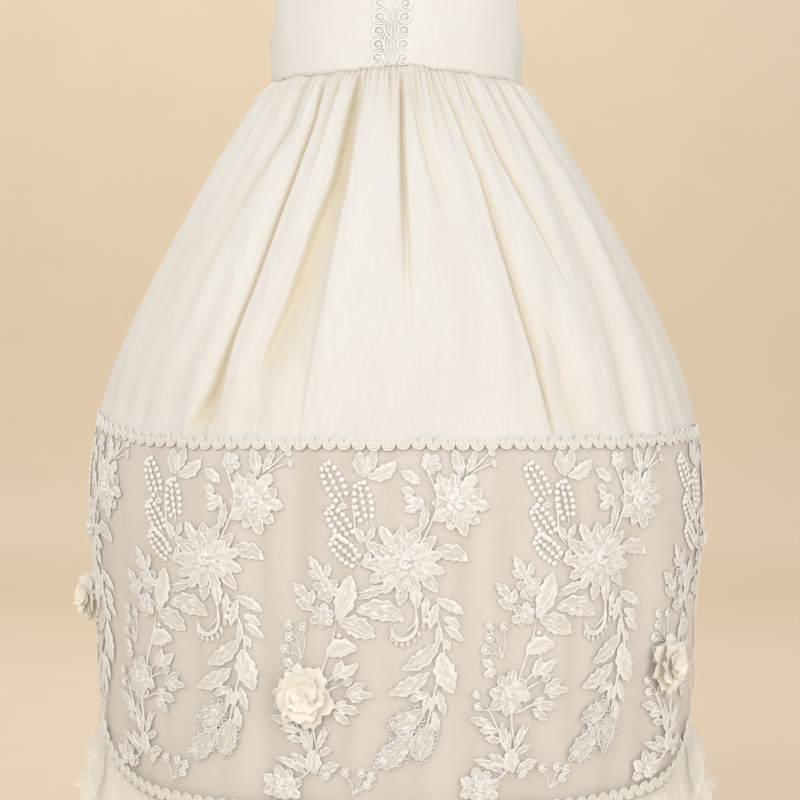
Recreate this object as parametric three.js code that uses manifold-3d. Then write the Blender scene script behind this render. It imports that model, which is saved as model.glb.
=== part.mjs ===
// A sleeveless christening gown, filled out as if worn and held at the shoulders.
// Millimetres, +Z up, the front faces -Y and +X is the viewer's right.
// The origin lies midway between the shoulder straps, at their inner face.
import * as THREE from "three";
import { mergeVertices } from "three/addons/utils/BufferGeometryUtils.js";
import Module from "manifold-3d";

const wasm = await Module();
wasm.setup();

// Driving dimensions
const WAIST_Z = -138; // seam between bodice and silk skirt
const CHEST_Z = -70; // above this the bodice rounds over towards the shoulders
const SEAM_FRONT_Z = -401.5; // silk skirt meets the lace panel, at the centre front
const SEAM_RISE = { left: 17, right: 7 }; // how much higher that seam is at each side
const LACE_HEM_Z = -648; // lowest edge of the lace panel
const NOTCH_TOP_Z = -592; // top of the notch between the front and back lace, at each side
const NOTCH_ANGLE = 74; // degrees from the centre front, or back, to the notch
const SEAM_GAP = 0.3; // space left between pieces that are sewn together
const SILK = 1.5; // thickness of silk with its backing
const NET = 1.0; // thickness of net, ruffles and underskirt
const BRAID_WIDTH = 8;
const BRAID_THICK = 1.5;
const LACE_REPEATS = 9; // embroidered sprays round the lace panel
const LACE_LIFT = 4.1; // how far the lower lace stands off, over the heads of the ruffles
const LIFT_FROM_Z = -530;
const LIFT_FULL_Z = -582;

// Outline of the gown below the waist, read from the photo's sides and worked out for the front
const BODY_SECTIONS = [
  { z: -138, halfWidth: 92, halfDepth: 63 },
  { z: -152, halfWidth: 104, halfDepth: 73 },
  { z: -190, halfWidth: 127, halfDepth: 92 },
  { z: -262, halfWidth: 168, halfDepth: 122 },
  { z: -336, halfWidth: 203, halfDepth: 148 },
  { z: -389, halfWidth: 219, halfDepth: 159 },
  { z: -447, halfWidth: 225, halfDepth: 163 },
  { z: -530, halfWidth: 220, halfDepth: 161 },
  { z: -582, halfWidth: 215, halfDepth: 157 },
  { z: -650, halfWidth: 212.5, halfDepth: 155.5 },
  { z: -780, halfWidth: 215, halfDepth: 159 },
];

// Inner face of the bodice
const TORSO_SECTIONS = [
  { z: -70, halfWidth: 94.5, halfDepth: 62.5 },
  { z: -112, halfWidth: 92, halfDepth: 62.5 },
  { z: -138, halfWidth: 90.5, halfDepth: 61.5 },
];
const SHOULDER = { neckX: 48, tipX: 75, slope: 0.52 };
const DOME_LENGTH = 100; // cloth from chest level up to the shoulder seam
const NECK_DROP = { front: 70.3, back: 52 }; // degrees of the dome that the neckline takes away

// Armhole edge of the front and of the back, from the underarm to the shoulder tip:
// degrees from the centre, and cloth height above (or below) chest level
const ARMHOLE = [
  { angle: 90, height: -42 },
  { angle: 77, height: -35 },
  { angle: 69, height: -26 },
  { angle: 63.5, height: -7 },
  { angle: 59, height: 28 },
  { angle: 54, height: 68 },
  { angle: 51.5, height: 99.6 },
];

// Large folds of the silk skirt: angle from the centre front at waist and hem, half width and
// depth of the valley, and the shares of the drop between which it shows
const SKIRT_FOLDS = [
  { top: -72, hem: -70, width: 6, depth: 5, from: 0.1, to: 0.9 },
  { top: -46, hem: -51, width: 5, depth: 5, from: 0.08, to: 0.9 },
  { top: -36, hem: -37, width: 3.4, depth: 10, from: 0, to: 1.0 },
  { top: -15, hem: -27, width: 4.6, depth: 11, from: 0, to: 0.97 },
  { top: 1, hem: 2, width: 3.2, depth: 9, from: 0, to: 0.85 },
  { top: 10, hem: 16, width: 3.5, depth: 3.5, from: 0.05, to: 0.55 },
  { top: 23, hem: 29, width: 3.6, depth: 11, from: 0, to: 1.0 },
  { top: 36, hem: 40, width: 4, depth: 8, from: 0, to: 0.65 },
  { top: 60, hem: 63, width: 6, depth: 5, from: 0.1, to: 0.9 },
  { top: 102, hem: 104, width: 4.5, depth: 8, from: 0, to: 0.8 },
  { top: 121, hem: 118, width: 4, depth: 10, from: 0, to: 1.0 },
  { top: 142, hem: 140, width: 4, depth: 9, from: 0, to: 0.75 },
  { top: 160, hem: 163, width: 4.5, depth: 11, from: 0, to: 0.95 },
  { top: 181, hem: 179, width: 3.6, depth: 9, from: 0, to: 0.8 },
  { top: 201, hem: 205, width: 4, depth: 11, from: 0, to: 1.0 },
  { top: 224, hem: 222, width: 4.5, depth: 8, from: 0, to: 0.7 },
  { top: 243, hem: 246, width: 4.5, depth: 10, from: 0, to: 0.95 },
  { top: 258, hem: 258, width: 4, depth: 6, from: 0, to: 0.8 },
];
const GATHER_DEPTH = 1.3; // small gathers round the waist, one to every other column
const GATHER_LENGTH = 0.32; // share of the drop over which they die out
const SKIRT_ROWS = [0, 0.06, 0.18, 0.4, 0.7, 1];
const RUFFLE_WAVES = 34;

const rad = THREE.MathUtils.degToRad;
const smooth = (x, low, high) => THREE.MathUtils.smoothstep(x, low, high);
const turn = (angle) => ((((angle + 180) % 360) + 360) % 360) - 180; // to -180..180
// Degrees to the nearer of centre front and centre back
const fromCentre = (angle) => 90 - Math.abs(Math.abs(turn(angle)) - 90);

// Value of a column between the rows of a table, on a smooth curve through them
function between(rows, z, column) {
  const n = rows.length;
  let i = 0;
  while (i < n - 2 && z < rows[i + 1].z) i++;
  const slope = (k) => {
    const low = rows[Math.max(k - 1, 0)];
    const high = rows[Math.min(k + 1, n - 1)];
    return (high[column] - low[column]) / (high.z - low.z);
  };
  const step = rows[i + 1].z - rows[i].z;
  const t = (z - rows[i].z) / step;
  const from = rows[i][column];
  const to = rows[i + 1][column];
  return (
    from * (2 * t ** 3 - 3 * t ** 2 + 1) +
    to * (3 * t ** 2 - 2 * t ** 3) +
    slope(i) * step * (t ** 3 - 2 * t ** 2 + t) +
    slope(i + 1) * step * (t ** 3 - t ** 2)
  );
}

// A point of the gown below the waist: degrees from the centre front, height, and how far out
function bodyPoint(angle, z, out = 0) {
  const halfWidth = between(BODY_SECTIONS, z, "halfWidth") + out;
  const halfDepth = between(BODY_SECTIONS, z, "halfDepth") + out;
  return new THREE.Vector3(
    halfWidth * Math.sin(rad(angle)),
    -halfDepth * Math.cos(rad(angle)),
    z,
  );
}

// Height of the seam between silk skirt and lace panel
function seamZ(angle) {
  const side = Math.sin(rad(angle));
  const rise = side < 0 ? SEAM_RISE.left : SEAM_RISE.right;
  return SEAM_FRONT_Z + rise * side ** 8;
}

// A line that is level at front and back, with rounded corners up to a notch at each side
function roundedLine(angle, notchAngle) {
  const share = fromCentre(angle) / notchAngle;
  const drop = share >= 1 ? 0 : (1 - share ** 6) ** (2 / 3);
  return NOTCH_TOP_Z + (LACE_HEM_Z - NOTCH_TOP_Z) * drop;
}
const laceEdgeZ = (angle) => roundedLine(angle, NOTCH_ANGLE);
// The ruffles start to stand away just below the lace edge
const ruffleLineZ = (angle) => roundedLine(angle, NOTCH_ANGLE + 5) - 2;

// The lower lace stands off the underskirt
const laceLift = (z) =>
  LACE_LIFT * THREE.MathUtils.clamp((LIFT_FROM_Z - z) / (LIFT_FROM_Z - LIFT_FULL_Z), 0, 1);

// A closed cloth wall from a grid of point pairs: place(i, j) gives { outer, inner }
function wall(across, down, place, closed = false) {
  const columns = closed ? across : across + 1;
  const points = [];
  const index = [];
  for (let i = 0; i < columns; i++)
    for (let j = 0; j <= down; j++) {
      const { outer, inner } = place(i, j);
      points.push(...outer.toArray(), ...inner.toArray());
    }
  const at = (i, j, layer) => ((i % columns) * (down + 1) + j) * 2 + layer;
  const quad = (a, b, c, d) => index.push(a, b, c, a, c, d);
  for (let i = 0; i < across; i++) {
    for (let j = 0; j < down; j++) {
      quad(at(i, j, 0), at(i, j + 1, 0), at(i + 1, j + 1, 0), at(i + 1, j, 0));
      quad(at(i, j, 1), at(i + 1, j, 1), at(i + 1, j + 1, 1), at(i, j + 1, 1));
    }
    quad(at(i, 0, 1), at(i, 0, 0), at(i + 1, 0, 0), at(i + 1, 0, 1));
    quad(at(i, down, 0), at(i, down, 1), at(i + 1, down, 1), at(i + 1, down, 0));
  }
  if (!closed)
    for (let j = 0; j < down; j++) {
      quad(at(0, j, 1), at(0, j + 1, 1), at(0, j + 1, 0), at(0, j, 0));
      quad(at(across, j, 0), at(across, j + 1, 0), at(across, j + 1, 1), at(across, j, 1));
    }
  return new THREE.BufferGeometry()
    .setAttribute("position", new THREE.Float32BufferAttribute(points, 3))
    .setIndex(index);
}

const gown = new THREE.Group();
const cloth = (color, roughness) =>
  new THREE.MeshStandardMaterial({ color, roughness, metalness: 0, side: THREE.DoubleSide });
const SILK_CLOTH = cloth(0xf3eee2, 0.5);
const NET_CLOTH = cloth(0xf2ede6, 0.8);
const LINING_CLOTH = cloth(0xe6dac8, 0.6);
const THREAD = cloth(0xf7f4ee, 0.55);
const CHIFFON = cloth(0xf5e6c9, 0.7);

function addMesh(name, geometry, material) {
  const mesh = new THREE.Mesh(geometry, material);
  mesh.name = name;
  gown.add(mesh);
  return mesh;
}

// Bodice

const shoulderZ = (x) => SHOULDER.slope * (SHOULDER.neckX - Math.abs(x));

// A point of the bodice front, or of the back where facing is 1
function torsoPoint(angle, height, out, facing = -1) {
  const place = (a, h) => {
    const chest = TORSO_SECTIONS[0];
    if (h <= 0) {
      const z = CHEST_Z + h;
      return new THREE.Vector3(
        between(TORSO_SECTIONS, z, "halfWidth") * Math.sin(rad(a)),
        facing * between(TORSO_SECTIONS, z, "halfDepth") * Math.cos(rad(a)),
        z,
      );
    }
    const x = chest.halfWidth * Math.sin(rad(a));
    const over = (h / DOME_LENGTH) * (Math.PI / 2);
    return new THREE.Vector3(
      x,
      facing * chest.halfDepth * Math.cos(rad(a)) * Math.cos(over),
      CHEST_Z + (shoulderZ(x) - CHEST_Z) * Math.sin(over),
    );
  };
  const step = 0.5;
  const acrossWay = place(angle + step, height).sub(place(angle - step, height));
  const upWay = place(angle, height + step).sub(place(angle, height - step));
  const normal = acrossWay.cross(upWay).normalize().multiplyScalar(-facing);
  return place(angle, height).addScaledVector(normal, out);
}

// Top edge of the bodice from the side seam to the centre: armhole, shoulder, neckline
function topEdge(neckDrop, neckSteps) {
  const edge = ARMHOLE.map((row) => ({ ...row }));
  const tip = edge[edge.length - 1];
  const neckAngle = THREE.MathUtils.radToDeg(
    Math.asin(SHOULDER.neckX / TORSO_SECTIONS[0].halfWidth),
  );
  edge.push({ angle: (tip.angle + neckAngle) / 2, height: tip.height });
  for (let i = 0; i <= neckSteps; i++) {
    const along = rad(90 - (90 * i) / neckSteps);
    edge.push({
      angle: neckAngle * Math.sin(along),
      height: tip.height - (neckDrop / 90) * DOME_LENGTH * Math.cos(along),
    });
  }
  return edge;
}

// Bodice columns from one edge of the piece to the other, each from the waist to the top edge
function bodicePanel(edge, rows, facing, lift = 0) {
  const bottom = WAIST_Z - CHEST_Z;
  return wall(edge.length - 1, rows, (i, j) => {
    const share = 1 - j / rows;
    const angle = edge[i].foot + (edge[i].angle - edge[i].foot) * share ** 1.2;
    const height = bottom + (edge[i].height - bottom) * share;
    const out = edge[i].lapped ? lift : 0;
    return {
      outer: torsoPoint(angle, height, SILK + out, facing),
      inner: torsoPoint(angle, height, out, facing),
    };
  });
}

const mirrored = (edge) =>
  edge.map((row) => ({ ...row, angle: -row.angle, foot: -row.foot }));

// Spreads the feet of the columns evenly from the side seam to a given angle
function withFeet(edge, last) {
  edge[0].angle = 89.9;
  return edge.map((row, i) => ({ ...row, foot: 89.9 + ((last - 89.9) * i) / (edge.length - 1) }));
}

const frontHalf = withFeet(topEdge(NECK_DROP.front, 4), 0);
addMesh(
  "bodice_front",
  bodicePanel([...mirrored(frontHalf), ...frontHalf.slice(0, -1).reverse()], 5, -1),
  SILK_CLOTH,
);

// The back closes with the right half lapped over the left. Its columns run from right to left
const LAP_ANGLE = 5; // degrees that each back half passes the centre
const LAP_LIFT = SILK + SEAM_GAP;
const neck = topEdge(NECK_DROP.back, 4).slice(0, -1);
const lapHeight = topEdge(NECK_DROP.back, 4).pop().height;
const backHalf = [
  ...withFeet(neck, 18),
  { angle: LAP_ANGLE, foot: LAP_ANGLE, height: lapHeight, lapped: true },
  { angle: -LAP_ANGLE, foot: -LAP_ANGLE, height: lapHeight, lapped: true },
];
const BACK_ROWS = 5;
addMesh("bodice_back_right", bodicePanel(backHalf, BACK_ROWS, 1, LAP_LIFT), SILK_CLOTH);
addMesh("bodice_back_left", bodicePanel(mirrored(backHalf).reverse(), BACK_ROWS, 1), SILK_CLOTH);

// One button at each row of the placket
const BUTTON = { radius: 5.5, height: 3.5 };
for (let i = 1; i < BACK_ROWS; i++) {
  const height = lapHeight + ((WAIST_Z - CHEST_Z - lapHeight) * i) / BACK_ROWS;
  const foot = torsoPoint(0, height, LAP_LIFT + SILK + SEAM_GAP, 1);
  const tip = torsoPoint(0, height, LAP_LIFT + SILK + 1 + SEAM_GAP, 1);
  const profile = [
    new THREE.Vector2(0, 0),
    new THREE.Vector2(BUTTON.radius * 0.7, 0),
    new THREE.Vector2(BUTTON.radius, BUTTON.height * 0.4),
    new THREE.Vector2(BUTTON.radius * 0.6, BUTTON.height * 0.9),
    new THREE.Vector2(0, BUTTON.height),
  ];
  const button = addMesh(`button_${i}`, new THREE.LatheGeometry(profile, 8), SILK_CLOTH);
  button.position.copy(foot);
  button.quaternion.setFromUnitVectors(new THREE.Vector3(0, 1, 0), tip.sub(foot).normalize());
}

// Trim down the centre front: two rows of scrolled rosettes with a ladder of lace between

const TRIM = {
  x: -2.5, foot: -136.5, top: -41, ladder: 3.2, edge: 3.6, reach: 13, waist: 6.2,
  rosettes: 10, stations: 3, thick: 2,
};

// The bodice front at a given place across and height
function onFront(x, z, out) {
  const chest = TORSO_SECTIONS[0];
  if (z <= CHEST_Z) {
    const halfWidth = between(TORSO_SECTIONS, z, "halfWidth");
    return torsoPoint(THREE.MathUtils.radToDeg(Math.asin(x / halfWidth)), z - CHEST_Z, out);
  }
  const over = Math.asin((z - CHEST_Z) / (shoulderZ(x) - CHEST_Z));
  return torsoPoint(
    THREE.MathUtils.radToDeg(Math.asin(x / chest.halfWidth)),
    (over / (Math.PI / 2)) * DOME_LENGTH,
    out,
  );
}

const trimZ = (share) => TRIM.top + (TRIM.foot - TRIM.top) * share;
for (const [name, side] of [["rosette_braid_left", -1], ["rosette_braid_right", 1]]) {
  const steps = TRIM.rosettes * TRIM.stations;
  const columns = side < 0 ? [1, 0.55, 0] : [0, 0.55, 1];
  addMesh(
    name,
    wall(columns.length - 1, steps, (i, j) => {
      const bulge = Math.sin((Math.PI * (j % TRIM.stations)) / TRIM.stations);
      const reach = TRIM.waist + (TRIM.reach - TRIM.waist) * bulge;
      const x = TRIM.x + side * (TRIM.edge + (reach - TRIM.edge) * columns[i]);
      const crown = columns[i] > 0 && columns[i] < 1 ? TRIM.thick * (0.5 + 0.5 * bulge) : 1;
      const z = trimZ(j / steps);
      return { outer: onFront(x, z, SILK + SEAM_GAP + crown), inner: onFront(x, z, SILK + SEAM_GAP) };
    }),
    THREAD,
  );
}
addMesh(
  "ladder_lace",
  wall(1, 8, (i, j) => {
    const x = TRIM.x + TRIM.ladder * (2 * i - 1);
    const z = trimZ(j / 8);
    return { outer: onFront(x, z, SILK + SEAM_GAP + NET), inner: onFront(x, z, SILK + SEAM_GAP) };
  }),
  NET_CLOTH,
);

// Silk skirt, gathered at the waist

function foldOut(angle, share) {
  let out = 0;
  for (const fold of SKIRT_FOLDS) {
    const centre = fold.top + (fold.hem - fold.top) * share;
    const away = turn(angle - centre) / fold.width;
    const fade =
      smooth(share, fold.from - 0.12, fold.from + 0.12) * (1 - smooth(share, fold.to - 0.2, fold.to + 0.04));
    out -= fold.depth * fade * Math.exp(-away * away);
  }
  return out;
}

// Columns run down the folds: one in each valley, one at each shoulder, and some between
function skirtColumns(first, last) {
  const end = (angle) => ({ top: angle, hem: angle, width: 3 });
  const folds = SKIRT_FOLDS.filter((fold) => fold.top > first && fold.top < last);
  const stops = [end(first), ...folds, end(last)];
  const columns = [];
  for (let k = 0; k < stops.length - 1; k++) {
    const [near, next] = [stops[k], stops[k + 1]];
    const shoulders = (level) => {
      const room = 0.4 * (next[level] - near[level]);
      return [
        near[level] + Math.min(1.2 * near.width, room),
        next[level] - Math.min(1.2 * next.width, room),
      ];
    };
    const top = shoulders("top");
    const hem = shoulders("hem");
    const steps = 2 * Math.floor((hem[1] - hem[0]) / 16) + 2;
    columns.push({ top: near.top, hem: near.hem });
    for (let i = 0; i <= steps; i++)
      columns.push({
        top: top[0] + ((top[1] - top[0]) * i) / steps,
        hem: hem[0] + ((hem[1] - hem[0]) * i) / steps,
      });
  }
  columns.push({ top: last, hem: last });
  return columns;
}

function skirtPanel(first, last) {
  const columns = skirtColumns(first, last);
  return wall(columns.length - 1, SKIRT_ROWS.length - 1, (i, j) => {
    const share = SKIRT_ROWS[j];
    const angle = columns[i].top + (columns[i].hem - columns[i].top) * share;
    const top = WAIST_Z - SEAM_GAP;
    const z = top + (seamZ(angle) + SEAM_GAP / 2 - top) * share;
    const gather = GATHER_DEPTH * Math.max(0, 1 - share / GATHER_LENGTH) * (i % 2 ? 1 : -1);
    const out = foldOut(angle, share) + gather + 0.3;
    return { outer: bodyPoint(angle, z, out), inner: bodyPoint(angle, z, out - SILK) };
  });
}
addMesh("skirt_front", skirtPanel(-89.92, 89.92), SILK_CLOTH);
addMesh("skirt_back", skirtPanel(90.08, 269.92), SILK_CLOTH);

// Lace panels over the underskirt. The columns are closer together at the rounded corners

const LACE_COLUMNS = [0, 9, 18, 27, 36, 44, 51, 57, 62, 66, 69, 71.5, 73.2, 74.2, 78, 84, 89.85];
const LINING_COLUMNS = LACE_COLUMNS.filter((angle, i) => i % 2 === 0 && (i < 10 || i > 13));
const LACE_LEVELS = [-447, LIFT_FROM_Z, LIFT_FULL_Z]; // rows between the seam and the lower edge
const LINING_LEVELS = [...LACE_LEVELS, -650];

function panel(centre, half, levels, foot, out, lift = () => 0) {
  const columns = [
    ...half.slice(1).reverse().map((angle) => centre - angle),
    ...half.map((angle) => centre + angle),
  ];
  return wall(columns.length - 1, levels.length + 1, (i, j) => {
    const z = [seamZ(columns[i]) - SEAM_GAP / 2, ...levels, foot(columns[i])][j];
    const place = out + lift(z);
    return { outer: bodyPoint(columns[i], z, place + NET), inner: bodyPoint(columns[i], z, place) };
  });
}

const NET_OUT = -0.3; // inner face of the net, from the gown's outline
const LINING_OUT = NET_OUT - SEAM_GAP - NET;
const liningHemZ = (angle) => ruffleLineZ(angle) - 96;
for (const [side, centre] of [["front", 0], ["back", 180]]) {
  addMesh(
    `underskirt_${side}`,
    panel(centre, LINING_COLUMNS, LINING_LEVELS, liningHemZ, LINING_OUT),
    LINING_CLOTH,
  );
  addMesh(
    `lace_${side}`,
    panel(centre, LACE_COLUMNS, LACE_LEVELS, laceEdgeZ, NET_OUT, laceLift),
    NET_CLOTH,
  );
}

// Scroll braid over the seam, and along the edge of each lace panel. Each wave is a wide and a narrow station

const BRAID_OUT = NET_OUT + NET + SEAM_GAP;
const scallop = (station) => (station % 2 ? 1 : 0.66);
const BRAID_WAVES = 54;
addMesh(
  "braid_upper",
  wall(
    BRAID_WAVES * 2,
    1,
    (i, j) => {
      const angle = (180 * i) / BRAID_WAVES;
      const z = seamZ(angle) + (0.5 - j) * BRAID_WIDTH * scallop(i);
      return {
        outer: bodyPoint(angle, z, BRAID_OUT + BRAID_THICK),
        inner: bodyPoint(angle, z, BRAID_OUT),
      };
    },
    true,
  ),
  THREAD,
);

// A point on the lace, moved along and down its face by millimetres from a place on it
function moved(angle, z, along, down, out) {
  const { x, y } = bodyPoint(angle + 0.5, z).sub(bodyPoint(angle - 0.5, z));
  return bodyPoint(angle + along / Math.hypot(x, y), z - down, out + laceLift(z - down));
}

const EDGE_END = NOTCH_ANGLE - 0.6;
const EDGE_STATIONS = 58;
function edgeBraid(centre) {
  return wall(EDGE_STATIONS, 1, (i, j) => {
    // Stations bunch up towards the corners, where the edge turns upwards
    const even = (2 * i) / EDGE_STATIONS - 1;
    const angle = centre + EDGE_END * Math.sign(even) * (1 - (1 - Math.abs(even)) ** 1.35);
    const z = laceEdgeZ(angle);
    const before = bodyPoint(angle - 0.3, laceEdgeZ(angle - 0.3));
    const after = bodyPoint(angle + 0.3, laceEdgeZ(angle + 0.3));
    const run = Math.hypot(after.x - before.x, after.y - before.y);
    const slope = Math.atan2(after.z - before.z, run);
    const reach = j ? 0.5 : 0.5 + BRAID_WIDTH * scallop(i);
    const along = -reach * Math.sin(slope);
    const down = -reach * Math.cos(slope);
    const bottom = BRAID_OUT + 0.2;
    return {
      outer: moved(angle, z, along, down, bottom + BRAID_THICK),
      inner: moved(angle, z, along, down, bottom),
    };
  });
}
addMesh("braid_hem_front", edgeBraid(0), THREAD);
addMesh("braid_hem_back", edgeBraid(180), THREAD);

// Ruffles. They share one wave and the same rows, so that the tiers never cross

const TUCK = -8; // rows are drops below the line where the ruffles start to stand away
const lowerHemZ = (angle) => -742 - 14 * Math.cos(rad(angle)) ** 2;
const RUFFLES = {
  lower: { rows: [0, 25, 62], head: -0.1, flare: 0.15, hem: lowerHemZ },
  upper: { rows: [TUCK, 0, 25], head: 1.2, flare: 0.2, hem: (angle) => ruffleLineZ(angle) - 62 },
  flap: { rows: [TUCK, 0], head: 2.5, flare: 0.27, hem: (angle) => ruffleLineZ(angle) - 25 },
};
const WAVE_DEPTH = 5.5;
const WAVE_GROWTH = 32; // drop over which the waves open

function ruffle({ rows, hem, head, flare }, first, last, closed) {
  return wall(
    last - first,
    rows.length,
    (i, j) => {
      const angle = (180 * (first + i)) / RUFFLE_WAVES;
      const line = ruffleLineZ(angle);
      const z = j < rows.length ? line - rows[j] : hem(angle);
      const drop = Math.max(0, line - z);
      const wave = WAVE_DEPTH * (1 - Math.exp(-drop / WAVE_GROWTH)) * ((first + i) % 2 ? -1 : 1);
      const out = head + flare * drop + wave;
      return { outer: bodyPoint(angle, z, out + NET), inner: bodyPoint(angle, z, out) };
    },
    closed,
  );
}
const steps = 2 * RUFFLE_WAVES;
addMesh("ruffle_lower", ruffle(RUFFLES.lower, 0, steps, true), CHIFFON);
addMesh("ruffle_upper", ruffle(RUFFLES.upper, 0, steps, true), NET_CLOTH);
for (const [name, centre] of [["ruffle_side_left", -0.25], ["ruffle_side_right", 0.25]]) {
  const middle = Math.round(centre * steps);
  addMesh(name, ruffle(RUFFLES.flap, middle - 3, middle + 3, false), NET_CLOTH);
}

// Embroidered sprays on the lace: flowers, leaves and stems, one solid for each repeat

// Across and down in millimetres from the top of the repeat
const FLOWERS = [
  { x: 4, y: 79, radius: 24, petals: 7 },
  { x: 41, y: 39, radius: 17, petals: 5 },
  { x: -59, y: 166, radius: 17, petals: 5 },
  { x: -66, y: 220, radius: 14, petals: 5 },
];
// Stems and leaves are long diamonds from one point to another
const LEAVES = [
  { from: [4, 79], to: [44, 36], width: 6 },
  { from: [4, 79], to: [-36, 44], width: 6 },
  { from: [4, 79], to: [-48, 108], width: 7 },
  { from: [-46, 98], to: [-59, 166], width: 7 },
  { from: [-59, 166], to: [-66, 220], width: 6 },
  { from: [4, 79], to: [30, 142], width: 8 },
  { from: [31, 128], to: [18, 206], width: 9 },
  { from: [-32, 50], to: [-36, 16], width: 12 },
  { from: [-28, 94], to: [-30, 66], width: 11 },
  { from: [-36, 98], to: [-6, 120], width: 11 },
  { from: [-54, 134], to: [-24, 146], width: 11 },
  { from: [29, 140], to: [2, 160], width: 11 },
];
const SPRAY = { out: NET_OUT + NET + 0.8, thick: 1.3, top: 5 };

// Distance round the lace from the centre front to each whole degree
const ROUND_LACE = [0];
const ARC_Z = -480;
for (let angle = 1; angle <= 360; angle++)
  ROUND_LACE.push(
    ROUND_LACE[angle - 1] + bodyPoint(angle, ARC_Z).distanceTo(bodyPoint(angle - 1, ARC_Z)),
  );

function angleAt(distance) {
  const whole = ROUND_LACE[360];
  const left = THREE.MathUtils.euclideanModulo(distance, whole);
  const i = ROUND_LACE.findIndex((reach) => reach > left) - 1;
  return i + (left - ROUND_LACE[i]) / (ROUND_LACE[i + 1] - ROUND_LACE[i]);
}

// Places a flat drawing on the lace, from a distance round it
function onLace(centre, x, y, out) {
  const angle = angleAt(centre + x);
  const z = seamZ(angle) - SPRAY.top - y;
  return bodyPoint(angle, z, out + laceLift(z));
}

// A raised shape with a flat outline, fanned from its middle so that it follows the lace
function raisedShape(centre, middle, outline, thick) {
  const points = [middle, ...outline].flatMap(([x, y]) => [
    ...onLace(centre, x, y, SPRAY.out + thick).toArray(),
    ...onLace(centre, x, y, SPRAY.out).toArray(),
  ]);
  const index = [];
  const n = outline.length;
  for (let i = 0; i < n; i++) {
    const a = 2 * (i + 1);
    const b = 2 * (((i + 1) % n) + 1);
    index.push(0, b, a, 1, a + 1, b + 1, a, b, b + 1, a, b + 1, a + 1);
  }
  return solid(
    new THREE.BufferGeometry()
      .setAttribute("position", new THREE.Float32BufferAttribute(points, 3))
      .setIndex(index),
  );
}

function solid(geometry) {
  const merged = mergeVertices(geometry, 1e-3);
  const made = new wasm.Manifold(
    new wasm.Mesh({
      numProp: 3,
      vertProperties: merged.attributes.position.array,
      triVerts: new Uint32Array(merged.index.array),
    }),
  );
  if (made.volume() > 0) return made;
  const flipped = Uint32Array.from(merged.index.array);
  for (let i = 0; i < flipped.length; i += 3) [flipped[i], flipped[i + 1]] = [flipped[i + 1], flipped[i]];
  return new wasm.Manifold(
    new wasm.Mesh({ numProp: 3, vertProperties: merged.attributes.position.array, triVerts: flipped }),
  );
}

function flowerOutline({ x, y, radius, petals }) {
  const points = [];
  for (let i = 0; i < petals * 2; i++) {
    const reach = i % 2 ? radius * 0.5 : radius;
    const way = (Math.PI * i) / petals + 0.3;
    points.push([x + reach * Math.cos(way), y + reach * Math.sin(way)]);
  }
  return points;
}

function leafOutline({ from, to, width }) {
  const along = new THREE.Vector2(to[0] - from[0], to[1] - from[1]);
  const aside = new THREE.Vector2(-along.y, along.x).setLength(width / 2);
  const middle = [from[0] + along.x / 2, from[1] + along.y / 2];
  return [
    from,
    [middle[0] + aside.x, middle[1] + aside.y],
    to,
    [middle[0] - aside.x, middle[1] - aside.y],
  ];
}

// One spray. What would reach past the rounded edge of the lace is left off
function spray(centre) {
  const clear = (outline) =>
    outline.every(([x, y]) => {
      const angle = angleAt(centre + x);
      return seamZ(angle) - SPRAY.top - y > laceEdgeZ(angle) + BRAID_WIDTH + 2;
    });
  const pieces = [];
  FLOWERS.forEach((flower, i) => {
    const outline = flowerOutline(flower);
    if (clear(outline))
      pieces.push(raisedShape(centre, [flower.x, flower.y], outline, SPRAY.thick + 0.15 * (i % 2)));
  });
  LEAVES.forEach((leaf, i) => {
    const outline = leafOutline(leaf);
    const middle = [(leaf.from[0] + leaf.to[0]) / 2, (leaf.from[1] + leaf.to[1]) / 2];
    const thick = SPRAY.thick - 0.2 - 0.05 * (i % 3);
    if (clear(outline)) pieces.push(raisedShape(centre, middle, outline, thick));
  });
  const bodies = wasm.Manifold.union(pieces)
    .decompose()
    .sort((a, b) => b.volume() - a.volume());
  const { vertProperties, triVerts } = bodies[0].getMesh();
  return new THREE.BufferGeometry()
    .setAttribute("position", new THREE.Float32BufferAttribute(vertProperties, 3))
    .setIndex([...triVerts]);
}

for (let i = 0; i < LACE_REPEATS; i++)
  addMesh(`spray_${i + 1}`, spray((ROUND_LACE[360] * i) / LACE_REPEATS), THREAD);

// Fabric flowers sewn to the lace

const ROSES = [
  { angle: -16.1, z: -568.5, spin: 0.2, on: "spray" },
  { angle: 57.3, z: -556, spin: 0.9, on: "spray" },
  { angle: -88, z: -518, spin: 1.7, on: "net" },
];
const ROSE_SEAT = {
  net: NET_OUT + NET + SEAM_GAP + 0.1,
  spray: SPRAY.out + SPRAY.thick + 0.15 + SEAM_GAP,
};
// Rings of a rose from its foot to its middle: radius, height, and how deep the petals are cut
const ROSE_RINGS = [
  { radius: 7, height: 0, lobe: 0 },
  { radius: 7.5, height: 2.4, lobe: 0 },
  { radius: 17, height: 3.4, lobe: 1.8 },
  { radius: 17.5, height: 4.9, lobe: 1.8 },
  { radius: 9, height: 7.4, lobe: 1.5 },
  { radius: 9, height: 11, lobe: 1.5 },
];
const ROSE_PETALS = 7;

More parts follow.
